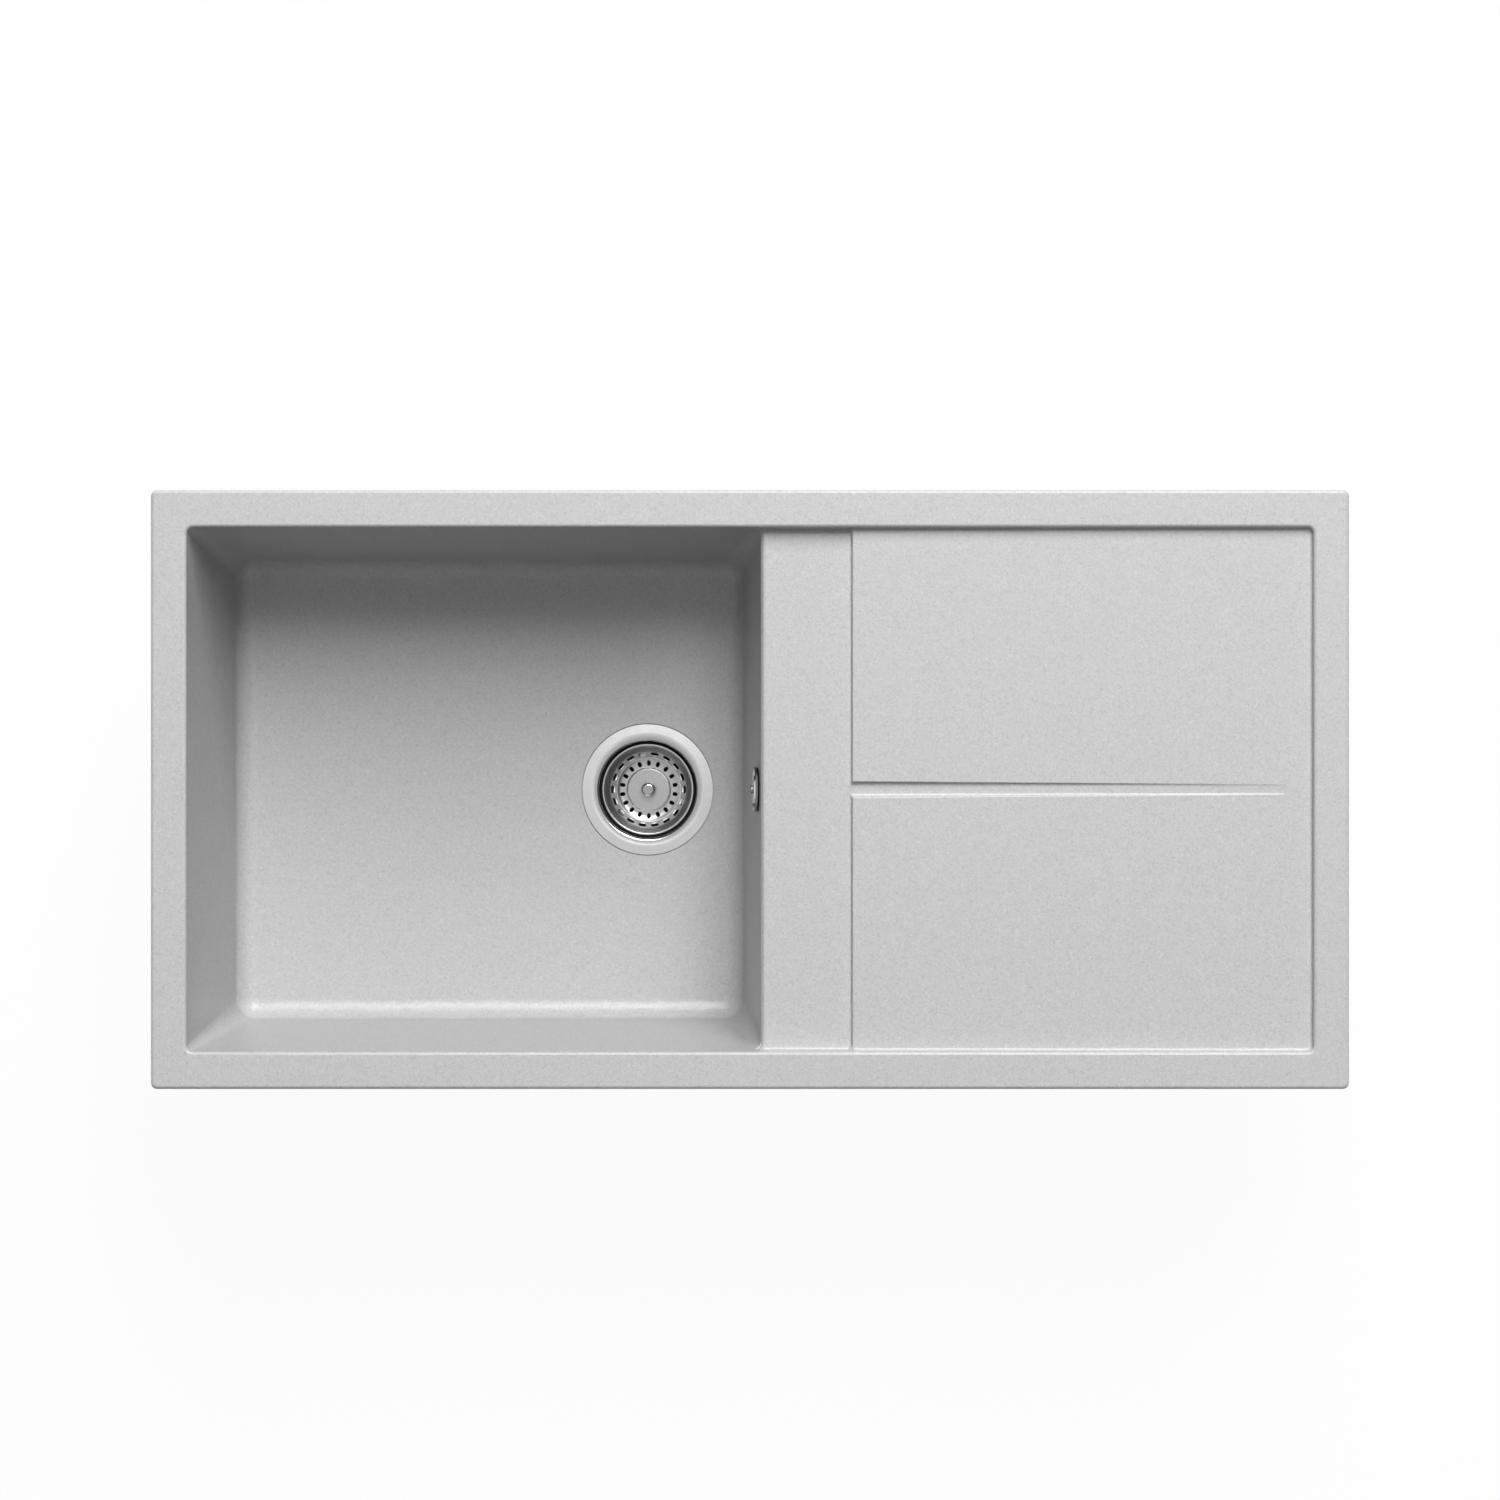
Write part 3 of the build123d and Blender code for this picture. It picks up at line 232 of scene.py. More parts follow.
class Effects:
    """Shader effects that several finishes share, each built once as a node group."""

    CLOUD_TO_GRAIN = 0.3
    CLOUD_DETAIL = 4.0
    LINE_DETAIL = 2.0

    @staticmethod
    def _about_one(sheet: Sheet, noise: Any, amount: Any) -> Socket:
        """Turns a noise of 0 to 1 into a factor that strays from 1 by the amount at most."""
        drift = sheet.math("MULTIPLY_ADD", noise, 2.0, -1.0)
        return sheet.math("MULTIPLY_ADD", drift, amount, 1.0)

    @staticmethod
    def _open(name: str, inputs: dict[str, Any], outputs: tuple[str, ...]) -> tuple[Sheet, Any, Any] | None:
        """Starts a group, unless it exists.

        Args:
            name: the group's name.
            inputs: default value of each input, a number or a vector.
            outputs: names of the outputs.

        Returns:
            The sheet with the group's input and output nodes, or None if the group was built before.
        """
        if name in bpy.data.node_groups:
            return None
        tree = bpy.data.node_groups.new(name, "ShaderNodeTree")
        for key, value in inputs.items():
            kind = "NodeSocketFloat" if isinstance(value, float) else "NodeSocketVector"
            tree.interface.new_socket(key, in_out="INPUT", socket_type=kind).default_value = value
        for key in outputs:
            tree.interface.new_socket(key, in_out="OUTPUT", socket_type="NodeSocketFloat")
        sheet = Sheet(tree)
        return sheet, sheet.add("NodeGroupInput"), sheet.add("NodeGroupOutput")

    @classmethod
    def speckle(cls) -> Tree:
        """Grains of two tones scattered in a ground.

        Returns:
            Group with the outputs Shade (a factor about 1) and Height (0 to 1).
        """
        inputs = {
            "Grains": 1000.0, "Dark Share": 0.1, "Dark": 0.1, "Light Share": 0.1, "Light": 0.1, "Cloud": 0.05
        }
        opened = cls._open("speckle", inputs, ("Shade", "Height"))
        if opened:
            sheet, given, result = opened
            place = sheet.place()
            cells = sheet.add("ShaderNodeTexVoronoi", {"Vector": place, "Scale": given.outputs["Grains"]})
            tone = sheet.add("ShaderNodeSeparateColor", {0: cells.outputs["Color"]})
            dark = sheet.math("LESS_THAN", tone.outputs[0], given.outputs["Dark Share"])
            light = sheet.math("LESS_THAN", tone.outputs[1], given.outputs["Light Share"])
            wide = sheet.math("MULTIPLY", given.outputs["Grains"], cls.CLOUD_TO_GRAIN)
            inputs = {"Vector": place, "Scale": wide, "Detail": cls.CLOUD_DETAIL}
            cloud = sheet.add("ShaderNodeTexNoise", inputs).outputs["Fac"]
            drift = sheet.math("SUBTRACT", cloud, 0.5)
            shade = sheet.math("MULTIPLY_ADD", drift, given.outputs["Cloud"], 1.0)
            darker = sheet.math("MULTIPLY", dark, given.outputs["Dark"])
            shade = sheet.math("SUBTRACT", shade, darker)
            shade = sheet.math("MULTIPLY_ADD", light, given.outputs["Light"], shade)
            height = sheet.math("SUBTRACT", 1.0, cells.outputs["Distance"])
            sheet.join(shade, result.inputs["Shade"])
            sheet.join(height, result.inputs["Height"])
        return bpy.data.node_groups["speckle"]

    @classmethod
    def mottle(cls) -> Tree:
        """Slow, soft unevenness.

        Returns:
            Group with the output Factor (about 1).
        """
        opened = cls._open("mottle", {"Scale": 50.0, "Amount": 0.1}, ("Factor",))
        if opened:
            sheet, given, result = opened
            inputs = {"Vector": sheet.place(), "Scale": given.outputs["Scale"], "Detail": cls.CLOUD_DETAIL}
            noise = sheet.add("ShaderNodeTexNoise", inputs).outputs["Fac"]
            factor = cls._about_one(sheet, noise, given.outputs["Amount"])
            sheet.join(factor, result.inputs["Factor"])
        return bpy.data.node_groups["mottle"]

    @classmethod
    def turning(cls) -> Tree:
        """Fine rings about an axis, as a lathe or a polishing wheel leaves them.

        Returns:
            Group with the outputs Factor (about 1), Height (0 to 1) and Radius (distance from the axis).
        """
        inputs = {"Centre": (0.0, 0.0, 0.0), "Axis": (0.0, 0.0, 1.0), "Lines": 2000.0, "Amount": 0.1}
        opened = cls._open("turning", inputs, ("Factor", "Height", "Radius"))
        if opened:
            sheet, given, result = opened
            arm = sheet.vector("SUBTRACT", sheet.place(), given.outputs["Centre"])
            along = sheet.vector("DOT_PRODUCT", arm, given.outputs["Axis"], "Value")
            radius = sheet.length(sheet.vector("CROSS_PRODUCT", arm, given.outputs["Axis"]))
            walk = sheet.math("MULTIPLY", sheet.math("ADD", radius, along), given.outputs["Lines"])
            inputs = {"W": walk, "Scale": 1.0, "Detail": cls.LINE_DETAIL}
            lines = sheet.add("ShaderNodeTexNoise", inputs, noise_dimensions="1D").outputs["Fac"]
            factor = cls._about_one(sheet, lines, given.outputs["Amount"])
            sheet.join(factor, result.inputs["Factor"])
            sheet.join(lines, result.inputs["Height"])
            sheet.join(radius, result.inputs["Radius"])
        return bpy.data.node_groups["turning"]


@dataclass(frozen=True)
class Grain:
    """Grains in a ground: how many to the metre, the share and contrast of two tones, and a slow cloud."""

    count: float
    dark_share: float = 0.0
    dark: float = 0.0
    light_share: float = 0.0
    light: float = 0.0
    cloud: float = 0.0

    def put(self, sheet: Sheet) -> Node:
        """Places the shared speckle with these values."""
        return sheet.group(
            Effects.speckle(), Grains=self.count, Dark_Share=self.dark_share, Dark=self.dark,
            Light_Share=self.light_share, Light=self.light, Cloud=self.cloud,
        )


@dataclass(frozen=True)
class Finish(ABC):
    """A finish that knows how to make its material."""

    name: str
    slot: Slot

    def material(self) -> bpy.types.Material:
        """Makes the finish's material.

        Returns:
            The material, made the first time that it is asked for.
        """
        label = f"{self.name}_finish"
        found = bpy.data.materials.get(label)
        if found:
            return found
        made = bpy.data.materials.new(label)
        made.use_nodes = True
        sheet = Sheet(made.node_tree)
        shader = sheet.add("ShaderNodeBsdfPrincipled")
        sheet.add("ShaderNodeOutputMaterial", {0: shader.outputs[0]})
        self.write(sheet, shader)
        return made

    @abstractmethod
    def write(self, sheet: Sheet, shader: Node) -> None:
        """Writes the finish's nodes.

        Args:
            sheet: the material's node tree.
            shader: its Principled BSDF.
        """

    @staticmethod
    def bump(sheet: Sheet, shader: Node, height: Any, depth: float, strength: float) -> None:
        """Feeds a height to the shader's normal.

        Args:
            sheet: the material's node tree.
            shader: its Principled BSDF.
            height: socket with a height of 0 to 1.
            depth: what a height of 1 measures, in metres.
            strength: share of the effect.
        """
        inputs = {"Height": height, "Distance": depth, "Strength": strength}
        sheet.join(sheet.add("ShaderNodeBump", inputs).outputs[0], shader.inputs["Normal"])


@dataclass(frozen=True)
class Granite(Finish):
    """Stone filler in resin: a silky speckled face, and a duller back from the mould's other half.

    The values whose names end in below or above are upright shares of the surface's normal.
    """

    colour: Colour = (0.52, 0.52, 0.52)
    fine: Grain = Grain(900.0, dark_share=0.20, dark=0.10, light_share=0.20, light=0.08, cloud=0.06)
    coarse: Grain = Grain(375.0, dark_share=0.06, dark=0.05, light_share=0.06, light=0.04, cloud=0.04)
    relief: float = 0.04 * MM
    relief_strength: float = 0.35
    drift_scale: float = 18.0
    drift: float = 0.012
    # painted shade: the base colour grows darker with depth below the rim, towards the bowl's floor
    painted_depth_shade: float = 0.88
    painted_shade_depth: float = 0.2
    # painted shade: upright faces such as the bowl's walls get a darker base colour
    painted_wall_shade: float = 0.92
    painted_wall_below: float = 0.1
    painted_wall_above: float = 0.6
    face_roughness: float = 0.38
    face_above: float = 0.02
    back_below: float = -0.05
    back_roughness: float = 0.75
    back_shade: float = 0.9
    back_drift_scale: float = 60.0
    back_drift: float = 0.06

    def write(self, sheet: Sheet, shader: Node) -> None:
        """Writes the speckle, the soft drift of the colour and the duller back.

        Args:
            sheet: the material's node tree.
            shader: its Principled BSDF.
        """
        fine = self.fine.put(sheet)
        facing = sheet.upright(sheet.add("ShaderNodeNewGeometry").outputs["Normal"])
        back = sheet.ramp(facing, self.back_below, self.face_above, 1.0, 0.0, Ease.EVEN)
        shade = self._face_shade(sheet, fine.outputs["Shade"], facing)
        flow = sheet.group(Effects.mottle(), Scale=self.back_drift_scale, Amount=self.back_drift)
        duller = sheet.math("MULTIPLY", flow.outputs["Factor"], self.back_shade)
        shade = sheet.between(back, shade, sheet.math("MULTIPLY", shade, duller))
        sheet.join(sheet.tinted((*self.colour, 1.0), shade), shader.inputs["Base Color"])
        rough = sheet.math("DIVIDE", self.face_roughness, fine.outputs["Shade"])
        rough = sheet.between(back, rough, self.back_roughness)
        sheet.join(rough, shader.inputs["Roughness"])
        self.bump(sheet, shader, fine.outputs["Height"], self.relief, self.relief_strength)

    def _face_shade(self, sheet: Sheet, speckle: Socket, facing: Socket) -> Socket:
        """Writes the face's shade: its grains, a slow drift, and painted shade that darkens the bowl towards
        its floor and on its upright walls.

        Args:
            sheet: the material's node tree.
            speckle: shade of the fine grains.
            facing: upright share of the surface's normal.

        Returns:
            Socket with a factor about 1.
        """
        coarse = self.coarse.put(sheet)
        drift = sheet.group(Effects.mottle(), Scale=self.drift_scale, Amount=self.drift)
        # painted shade, darker towards the bowl's floor
        painted_depth_factor = sheet.ramp(sheet.upright(sheet.place()), -self.painted_shade_depth, 0.0, self.painted_depth_shade, 1.0)
        # painted shade, darker on upright faces
        painted_wall_factor = sheet.ramp(facing, self.painted_wall_below, self.painted_wall_above, self.painted_wall_shade, 1.0)
        shade = speckle
        for factor in (coarse.outputs["Shade"], drift.outputs["Factor"], painted_depth_factor, painted_wall_factor):
            shade = sheet.math("MULTIPLY", shade, factor)
        return shade


@dataclass(frozen=True)
class Band:
    """A ring about a turned piece's axis that has another polish, or another colour as painted light or
    painted shade.
    """

    inner: float
    outer: float
    colour: Colour
    roughness: float
    blend: float = 0.6 * MM

    def mask(self, sheet: Sheet, radius: Socket) -> Socket:
        """Writes the band's mask.

        Args:
            sheet: the material's node tree.
            radius: distance from the axis.

        Returns:
            Socket that is 1 in the band and 0 outside it.
        """
        rise = sheet.ramp(radius, self.inner - self.blend, self.inner + self.blend, 0.0, 1.0)
        fall = sheet.ramp(radius, self.outer - self.blend, self.outer + self.blend, 1.0, 0.0)
        return sheet.math("MULTIPLY", rise, fall)


@dataclass(frozen=True)
class Steel(Finish):
    """Bare, polished or plated metal, turned about an axis."""

    colour: Colour = (0.66, 0.66, 0.65)
    roughness: float = 0.25
    centre: Place = (0.0, 0.0, 0.0)
    axis: Place = (0.0, 0.0, 1.0)
    lines: float = 3000.0
    line_amount: float = 0.12
    line_depth: float = 0.004 * MM
    line_strength: float = 0.5
    stain_scale: float = 60.0
    stain: float = 0.05
    band: Band | None = None

    def write(self, sheet: Sheet, shader: Node) -> None:
        """Writes the turning lines, the uneven sheen and the band of another polish, painted light or
        painted shade.

        Args:
            sheet: the material's node tree.
            shader: its Principled BSDF.
        """
        rings = sheet.group(
            Effects.turning(), Centre=self.centre, Axis=self.axis, Lines=self.lines, Amount=self.line_amount
        )
        stain = sheet.group(Effects.mottle(), Scale=self.stain_scale, Amount=self.stain).outputs["Factor"]
        ground: Any = (*self.colour, 1.0)
        dullness: Any = self.roughness
        if self.band:
            mask = self.band.mask(sheet, rings.outputs["Radius"])
            ground = sheet.mix(mask, ground, (*self.band.colour, 1.0))
            dullness = sheet.between(mask, dullness, self.band.roughness)
        sheet.join(sheet.tinted(ground, stain), shader.inputs["Base Color"])
        shader.inputs["Metallic"].default_value = 1.0
        uneven = sheet.math("MULTIPLY", rings.outputs["Factor"], stain)
        sheet.join(sheet.math("MULTIPLY", uneven, dullness), shader.inputs["Roughness"])
        self.bump(sheet, shader, rings.outputs["Height"], self.line_depth, self.line_strength)


@dataclass(frozen=True)
class Moulded(Finish):
    """Moulded plastic, rubber or foam with a fine skin."""

    colour: Colour = (0.8, 0.8, 0.78)
    roughness: float = 0.4
    grains: float = 2500.0
    relief: float = 0.01 * MM
    relief_strength: float = 0.6
    unevenness: float = 0.04
    drift_scale: float = 35.0
    pores: float = 0.0
    pore_dark: float = 0.5
    shine: float = 0.5

    def write(self, sheet: Sheet, shader: Node) -> None:
        """Writes the skin's grain, its pores and its drift of colour.

        Args:
            sheet: the material's node tree.
            shader: its Principled BSDF.
        """
        grain = Grain(self.grains, dark_share=self.pores, dark=self.pore_dark, cloud=self.unevenness)
        skin = grain.put(sheet)
        mottle = sheet.group(Effects.mottle(), Scale=self.drift_scale, Amount=self.unevenness)
        drift = mottle.outputs["Factor"]
        shade = sheet.math("MULTIPLY", skin.outputs["Shade"], drift)
        sheet.join(sheet.tinted((*self.colour, 1.0), shade), shader.inputs["Base Color"])
        sheet.join(sheet.math("MULTIPLY", drift, self.roughness), shader.inputs["Roughness"])
        shader.inputs["Specular IOR Level"].default_value = self.shine
        self.bump(sheet, shader, skin.outputs["Height"], self.relief, self.relief_strength)


TURNED_BRASS = Steel("turned_brass", Slot.BRASS, colour=(0.70, 0.50, 0.22), roughness=0.28)
DARK_PLASTIC = Moulded("dark_plastic", Slot.DARK, colour=(0.030, 0.031, 0.034), roughness=0.42)
BLACK_RUBBER = Moulded(
    "black_rubber", Slot.RUBBER, colour=(0.006, 0.006, 0.0065), roughness=0.8, relief=0.03 * MM, shine=0.12
)


def even_shading() -> Tree:
    """Geometry nodes that shade a mesh smooth but for its creases, with its seams merged.

    Returns:
        The group, built the first time that it is asked for.
    """
    name = "even_shading"
    if name in bpy.data.node_groups:
        return bpy.data.node_groups[name]
    tree = bpy.data.node_groups.new(name, "GeometryNodeTree")
    tree.interface.new_socket("Geometry", in_out="INPUT", socket_type="NodeSocketGeometry")
    tree.interface.new_socket("Geometry", in_out="OUTPUT", socket_type="NodeSocketGeometry")
    sheet = Sheet(tree)
    mesh = sheet.add("NodeGroupInput").outputs[0]
    plain = sheet.add("GeometryNodeRemoveAttribute", {"Geometry": mesh, "Name": "custom_normal"}).outputs[0]
    whole = sheet.add("GeometryNodeMergeByDistance", {"Geometry": plain, "Distance": SEAM_GAP}).outputs[0]
    inputs = {"Geometry": whole, "Shade Smooth": True}
    smooth = sheet.add("GeometryNodeSetShadeSmooth", inputs, domain="FACE")
    angle = sheet.add("GeometryNodeInputMeshEdgeAngle").outputs["Unsigned Angle"]
    settings = {"data_type": "FLOAT", "operation": "GREATER_THAN"}
    sharp = sheet.add("FunctionNodeCompare", {0: angle, 1: CREASE}, **settings)
    inputs = {"Geometry": smooth.outputs[0], "Selection": sharp.outputs[0], "Shade Smooth": False}
    creased = sheet.add("GeometryNodeSetShadeSmooth", inputs, domain="EDGE")
    sheet.add("NodeGroupOutput", {0: creased.outputs[0]})
    return tree


def middle(node: str) -> Place:
    """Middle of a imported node's box."""
    low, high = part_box(node)
    return tuple((low + high) / 2)


@dataclass
class Assembly(ABC):
    """A sub-assembly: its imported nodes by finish, and what Blender adds to them."""

    @abstractmethod
    def finishes(self) -> dict[Finish, tuple[str, ...]]:
        """Sorts the assembly's nodes by finish.

        Returns:
            The names of the nodes that take each finish.
        """

    def build(self) -> None:
        """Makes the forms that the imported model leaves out; most assemblies have none."""

    def dress(self) -> None:
        """Gives each node its finish and an even shading."""
        for finish, nodes in self.finishes().items():
            for name in nodes:
                self._dress_node(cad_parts[name], finish)

    @staticmethod
    def _dress_node(node: bpy.types.Object, finish: Finish) -> None:
        """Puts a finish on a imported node.

        Args:
            node: the node's object.
            finish: its finish.
        """
        material = finish.material()
        if not node.material_slots:
            node.data.materials.append(material)
        for slot in node.material_slots:
            slot.material = material
        node.modifiers.new("even_shading", "NODES").node_group = even_shading()
        weighted = node.modifiers.new("flat_faces_lead", "WEIGHTED_NORMAL")
        weighted.keep_sharp = True
        weighted.weight = FLAT_FACE_WEIGHT
        LOG.info("%s: %s, slot %s", node.name, finish.name, finish.slot.value)


@dataclass(frozen=True)
class Thread:
    """A V-shaped groove wound round an upright rod; its cutter stands out by a share of the depth."""

    name: str
    radius: float
    pitch: float
    depth: float
    length: float
    stand_out: float = 0.5
    steps: int = 48
    flank: float = math.radians(27.5)

    def cut(self, node: bpy.types.Object, centre: Vector, foot: float) -> None:
        """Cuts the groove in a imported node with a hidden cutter.

        Args:
            node: the node's object.
            centre: a point on the rod's axis.
            foot: height of the rod's end.
        """
        cutter = bpy.data.objects.new(self.name, self._groove(centre, foot))
        cutter.hide_render = True
        cutter.hide_viewport = True
        bpy.context.scene.collection.objects.link(cutter)
        weld = node.modifiers.new("weld", "WELD")
        weld.merge_threshold = SEAM_GAP
        groove = node.modifiers.new(self.name, "BOOLEAN")
        groove.operation = "DIFFERENCE"
        groove.solver = "EXACT"
        groove.object = cutter
        LOG.info("%s on %s", self.name, node.name)

    def _groove(self, centre: Vector, foot: float) -> bpy.types.Mesh:
        """Makes the cutter: a triangle swept along a helix, which runs out of the rod at its upper end.

        Args:
            centre: a point on the rod's axis.
            foot: height of the rod's end.

        Returns:
            The cutter's mesh.
        """
        outer = self.radius + self.depth * self.stand_out
        count = round(self.steps * (self.length / self.pitch + 1))
        made = bmesh.new()
        rows = []
        for step in range(count + 1):
            angle = math.tau * step / self.steps
            across, along = math.cos(angle), math.sin(angle)
            height = foot + self.pitch * (step / self.steps - 1)
            left = min(1.0, (count - step) / self.steps)
            inner = outer - self.depth * (self.stand_out + left)
            half = (outer - inner) * math.tan(self.flank)
            corners = ((outer, height - half), (inner, height), (outer, height + half))
            turned = [(centre.x + r * across, centre.y + r * along, z) for r, z in corners]
            rows.append([made.verts.new(place) for place in turned])
        for low, high in zip(rows, rows[1:]):
            for k in range(3):
                made.faces.new((low[k], low[(k + 1) % 3], high[(k + 1) % 3], high[k]))
        made.faces.new(rows[0])
        made.faces.new(rows[-1])
        bmesh.ops.recalc_face_normals(made, faces=made.faces)
        mesh = bpy.data.meshes.new(self.name)
        made.to_mesh(mesh)
        made.free()
        return mesh


@dataclass
class Moulding(Assembly):
    """The granite moulding and the foam strip under its rim."""

    granite: Granite = Granite("granite", Slot.GRANITE)
    foam: Moulded = Moulded(
        "foam", Slot.FOAM, colour=(0.035, 0.035, 0.037), roughness=0.95, grains=1400.0, relief=0.25 * MM,
        unevenness=0.15, pores=0.25,
    )

    def finishes(self) -> dict[Finish, tuple[str, ...]]:
        """The moulding in granite, its strip in foam."""
        return {self.granite: ("sink_body",), self.foam: ("rim_seal_strip",)}


@dataclass
class RimClamps(Assembly):
    """The clamps under the rim, with their screws and inserts."""

    zinc: Steel = Steel(
        "zinc_plate", Slot.ZINC, colour=(0.55, 0.57, 0.60), roughness=0.36, line_amount=0.0,
        stain_scale=240.0, stain=0.16,
    )

    def finishes(self) -> dict[Finish, tuple[str, ...]]:
        """Clamps and screws in zinc plate, inserts in brass."""
        plated = [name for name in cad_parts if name.startswith("clamp_") and name != "clamp_inserts"]
        return {self.zinc: tuple(plated), TURNED_BRASS: ("clamp_inserts",)}


@dataclass
class BasketWaste(Assembly):
    """The steel cup, the funnel under it with its threaded outlet, and what clamps and seals them."""

    thread: Thread = Thread(
        "outlet_thread", radius=23.9 * MM, pitch=2.309 * MM, depth=1.2 * MM, length=21.0 * MM
    )
    # painted shade: the polished band round the cup's mouth is given a darker colour than the satin steel;
    # its lower roughness is a real polish
    painted_shade_throat: Band = Band(0.0, 47.5 * MM, (0.36, 0.36, 0.36), 0.14, blend=2.0 * MM)

    def build(self) -> None:
        """Cuts the thread of the trap's nut in the outlet."""
        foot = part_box("waste_body")[0].z
        self.thread.cut(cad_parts["waste_body"], Vector(middle("waste_cup")), foot)

    def finishes(self) -> dict[Finish, tuple[str, ...]]:
        """Satin cup whose polished mouth is painted darker as painted shade, bright screw, dark funnel,
        black gaskets and a brass insert.

        Returns:
            The names of the nodes that take each finish.
        """
        centre = middle("waste_cup")
        satin = Steel(
            "satin_steel", Slot.SATIN, colour=(0.51, 0.51, 0.51), roughness=0.28, lines=2600.0,
            line_amount=0.22, centre=centre, band=self.painted_shade_throat,
        )
        bright = Steel("bright_screw", Slot.BRIGHT, colour=(0.72, 0.72, 0.72), roughness=0.14, centre=centre)
        return {
            satin: ("waste_cup",),
            bright: ("waste_screw",),
            DARK_PLASTIC: ("waste_body",),
            BLACK_RUBBER: ("cup_gasket", "body_gasket"),
            TURNED_BRASS: ("waste_insert",),
        }


@dataclass
class Strainer(Assembly):
    """The lift-out basket with its seal, knob, stem and clip."""

    # painted light: the punched wall gets a much lighter colour than the rest of the basket's steel; its
    # duller roughness is real
    wall: Band = Band(28.2 * MM, 34.0 * MM, (0.80, 0.80, 0.80), 0.55)
    clip: Moulded = Moulded("clip_plastic", Slot.CLIP, colour=(0.84, 0.84, 0.82), roughness=0.3)

    def finishes(self) -> dict[Finish, tuple[str, ...]]:
        """Polished basket whose punched wall is duller and painted lighter as painted light, smoother knob,
        moulded clip and a black ring.

        Returns:
            The names of the nodes that take each finish.
        """
        polished = Steel(
            "polished_steel", Slot.BRIGHT, colour=(0.355, 0.355, 0.355), roughness=0.28, lines=1800.0,
            line_amount=0.15, centre=middle("strainer_basket"), band=self.wall,
        )
        knob = Steel(
            "polished_knob", Slot.BRIGHT, colour=(0.34, 0.34, 0.34), roughness=0.12,
            centre=middle("strainer_knob"),
        )
        return {
            polished: ("strainer_basket", "strainer_stem", "strainer_nut"),
            knob: ("strainer_knob",),
            self.clip: ("strainer_clip",),
            BLACK_RUBBER: ("strainer_seal",),
        }


@dataclass
class Overflow(Assembly):
    """The overflow's cover on the bowl's leaning wall, and the elbow and pipe behind it."""

    wall_lean: float = math.radians(5.0)
    painted_shade_rim_width: float = 1.6 * MM

    def finishes(self) -> dict[Finish, tuple[str, ...]]:
        """Polished cover with a dark rim of painted shade, dull screw, dark pipes, black seals and a brass
        insert.

        Returns:
            The names of the nodes that take each finish.
        """
        low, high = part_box("overflow_rosette")
        radius = (high.y - low.y) / 2
        # painted shade: a dark ring round the cover's edge stands for the shadow line round it
        rim = Band(radius - self.painted_shade_rim_width, 2 * radius, (0.18, 0.18, 0.18), 0.3)
        turned = {"centre": middle("overflow_rosette"), "axis": (1.0, 0.0, -math.tan(self.wall_lean))}
        cover = Steel(
            "polished_cover", Slot.BRIGHT, colour=(0.66, 0.66, 0.66), roughness=0.16, band=rim, **turned
        )
        screw = Steel("dull_screw", Slot.BRIGHT, colour=(0.24, 0.24, 0.24), roughness=0.5, **turned)
        return {
            cover: ("overflow_rosette",),
            screw: ("overflow_screw",),
            DARK_PLASTIC: ("overflow_elbow", "overflow_pipe", "upper_pipe_nut", "lower_pipe_nut"),
            BLACK_RUBBER: ("rosette_seal", "overflow_gasket", "upper_pipe_seal", "lower_pipe_seal"),
            TURNED_BRASS: ("overflow_insert",),
        }


@dataclass(frozen=True)
class Lamp:
    """A soft rectangular lamp that is aimed at the middle of the rim."""

    name: str
    elevation: float
    swing: float
    distance: float
    width: float
    height: float
    power: float
    in_gloss: bool = True

    def build(self) -> None:
        """Makes the lamp; its swing is counted from +Y towards +X."""
        data = bpy.data.lights.new(self.name, "AREA")
        data.shape = "RECTANGLE"
        data.size = self.width
        data.size_y = self.height
        data.energy = self.power
        lamp = bpy.data.objects.new(self.name, data)
        lamp.visible_glossy = self.in_gloss
        bpy.context.scene.collection.objects.link(lamp)
        rise = math.radians(self.elevation)
        swing = math.radians(self.swing)
        away = Vector((math.sin(swing) * math.cos(rise), math.cos(swing) * math.cos(rise), math.sin(rise)))
        lamp.location = away * self.distance
        lamp.rotation_euler = away.to_track_quat("Z", "Y").to_euler()
        LOG.info("%s: %.0f W", self.name, self.power)


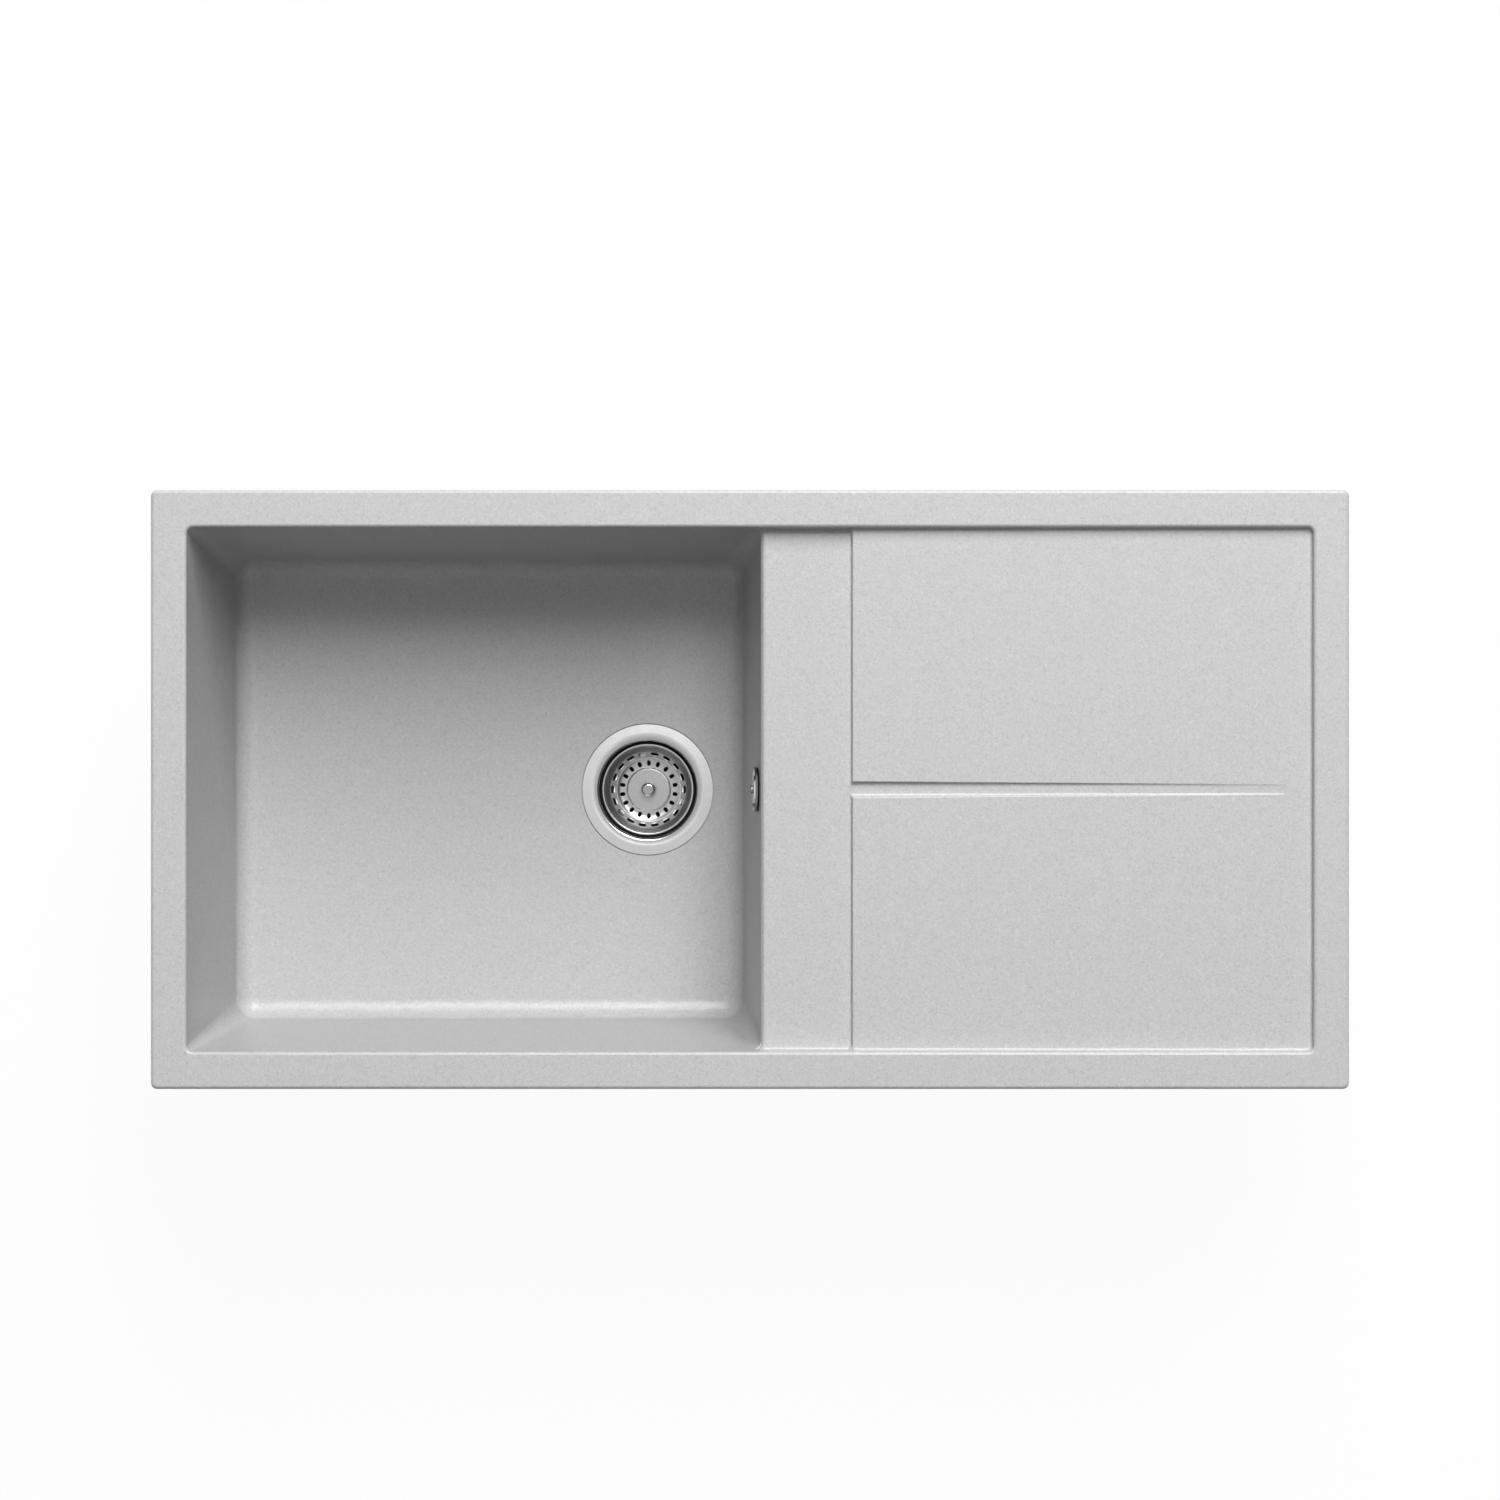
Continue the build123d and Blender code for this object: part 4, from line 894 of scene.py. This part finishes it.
@dataclass
class Studio:
    """Pale floor, a large soft lamp behind and above the sink, a weaker one overhead and a faint fill."""

    floor_size: float = 60.0
    floor_gap: float = 0.5 * MM
    floor_colour: Colour = (0.82, 0.82, 0.82)
    floor_white: float = 0.95
    all_white_from: float = 1.2
    all_white_at: float = 4.0
    softbox: Lamp = Lamp(
        "softbox", elevation=49.5, swing=11.0, distance=7.0, width=3.6, height=5.4, power=675.0
    )
    overhead: Lamp = Lamp(
        "overhead", elevation=90.0, swing=0.0, distance=5.0, width=3.6, height=3.6, power=30.0,
        in_gloss=False,
    )
    fill: float = 0.02

    def build(self) -> None:
        """Makes the floor, the lamps and the world."""
        self._floor()
        self.softbox.build()
        self.overhead.build()
        self._world()
        bpy.context.scene.view_settings.view_transform = "Standard"

    @staticmethod
    def _seen(sheet: Sheet) -> Socket:
        """Tells rays that are seen from those that only carry light.

        Args:
            sheet: the node tree of the floor or the world.

        Returns:
            Socket that is 1 for rays from the camera, a gloss or a glass, and 0 for the others.
        """
        path = sheet.add("ShaderNodeLightPath")
        seen = sheet.math("MAXIMUM", path.outputs["Is Camera Ray"], path.outputs["Is Glossy Ray"])
        return sheet.math("MAXIMUM", seen, path.outputs["Is Transmission Ray"])

    def _floor(self) -> None:
        """A pale plane that shows near white, keeps a soft shadow and fades to white away from the sink."""
        half = self.floor_size / 2
        level = CAD_BOX[0].z - self.floor_gap
        mesh = bpy.data.meshes.new("floor")
        corners = [(-half, -half, level), (half, -half, level), (half, half, level), (-half, half, level)]
        mesh.from_pydata(corners, [], [(0, 1, 2, 3)])
        floor = bpy.data.objects.new("floor", mesh)
        bpy.context.scene.collection.objects.link(floor)
        material = bpy.data.materials.new("pale_floor")
        material.use_nodes = True
        sheet = Sheet(material.node_tree)
        matt = sheet.add("ShaderNodeBsdfDiffuse", {"Color": (*self.floor_colour, 1.0)})
        white = sheet.add("ShaderNodeEmission", {"Color": WHITE, "Strength": 1.0})
        away = sheet.length(sheet.add("ShaderNodeNewGeometry").outputs["Position"])
        fade = sheet.ramp(away, self.all_white_from, self.all_white_at, self.floor_white, 1.0, Ease.EVEN)
        share = sheet.math("MULTIPLY", self._seen(sheet), fade)
        mixed = sheet.add("ShaderNodeMixShader", {0: share, 1: matt.outputs[0], 2: white.outputs[0]})
        sheet.add("ShaderNodeOutputMaterial", {0: mixed.outputs[0]})
        mesh.materials.append(material)

    def _world(self) -> None:
        """White to the eye and to reflections, and a weak fill as a light."""
        world = bpy.data.worlds.new("studio")
        bpy.context.scene.world = world
        world.use_nodes = True
        sheet = Sheet(world.node_tree)
        strength = sheet.math("MULTIPLY_ADD", self._seen(sheet), 1.0 - self.fill, self.fill)
        back = sheet.add("ShaderNodeBackground", {"Color": WHITE, "Strength": strength})
        sheet.add("ShaderNodeOutputWorld", {0: back.outputs[0]})


@dataclass
class PhotoCamera:
    """The photograph's camera: straight above the middle of the sink."""

    photo_pixels: float = 1500.0
    sink_pixels: float = 1199.0
    sink_below_middle_pixels: float = 39.5
    height_over_rim: float = 3.03
    sensor: float = 36.0

    def build(self) -> None:
        """Makes the camera and sets it as the scene's."""
        low, high = CAD_BOX
        seen_width = (high.x - low.x) * self.photo_pixels / self.sink_pixels
        data = bpy.data.cameras.new("photo_camera")
        data.sensor_width = self.sensor
        data.lens = self.sensor * self.height_over_rim / seen_width
        data.shift_y = self.sink_below_middle_pixels / self.photo_pixels
        camera = bpy.data.objects.new("photo_camera", data)
        camera.location = (0.0, 0.0, high.z + self.height_over_rim)
        bpy.context.scene.collection.objects.link(camera)
        bpy.context.scene.camera = camera


def main() -> None:
    """Builds and dresses the sub-assemblies, then sets the studio and the camera."""
    logging.basicConfig(level=logging.INFO, format="%(name)s: %(message)s")
    for assembly in (Moulding(), RimClamps(), BasketWaste(), Strainer(), Overflow()):
        assembly.build()
        assembly.dress()
    Studio().build()
    PhotoCamera().build()


if __name__ == "__main__":
    main()
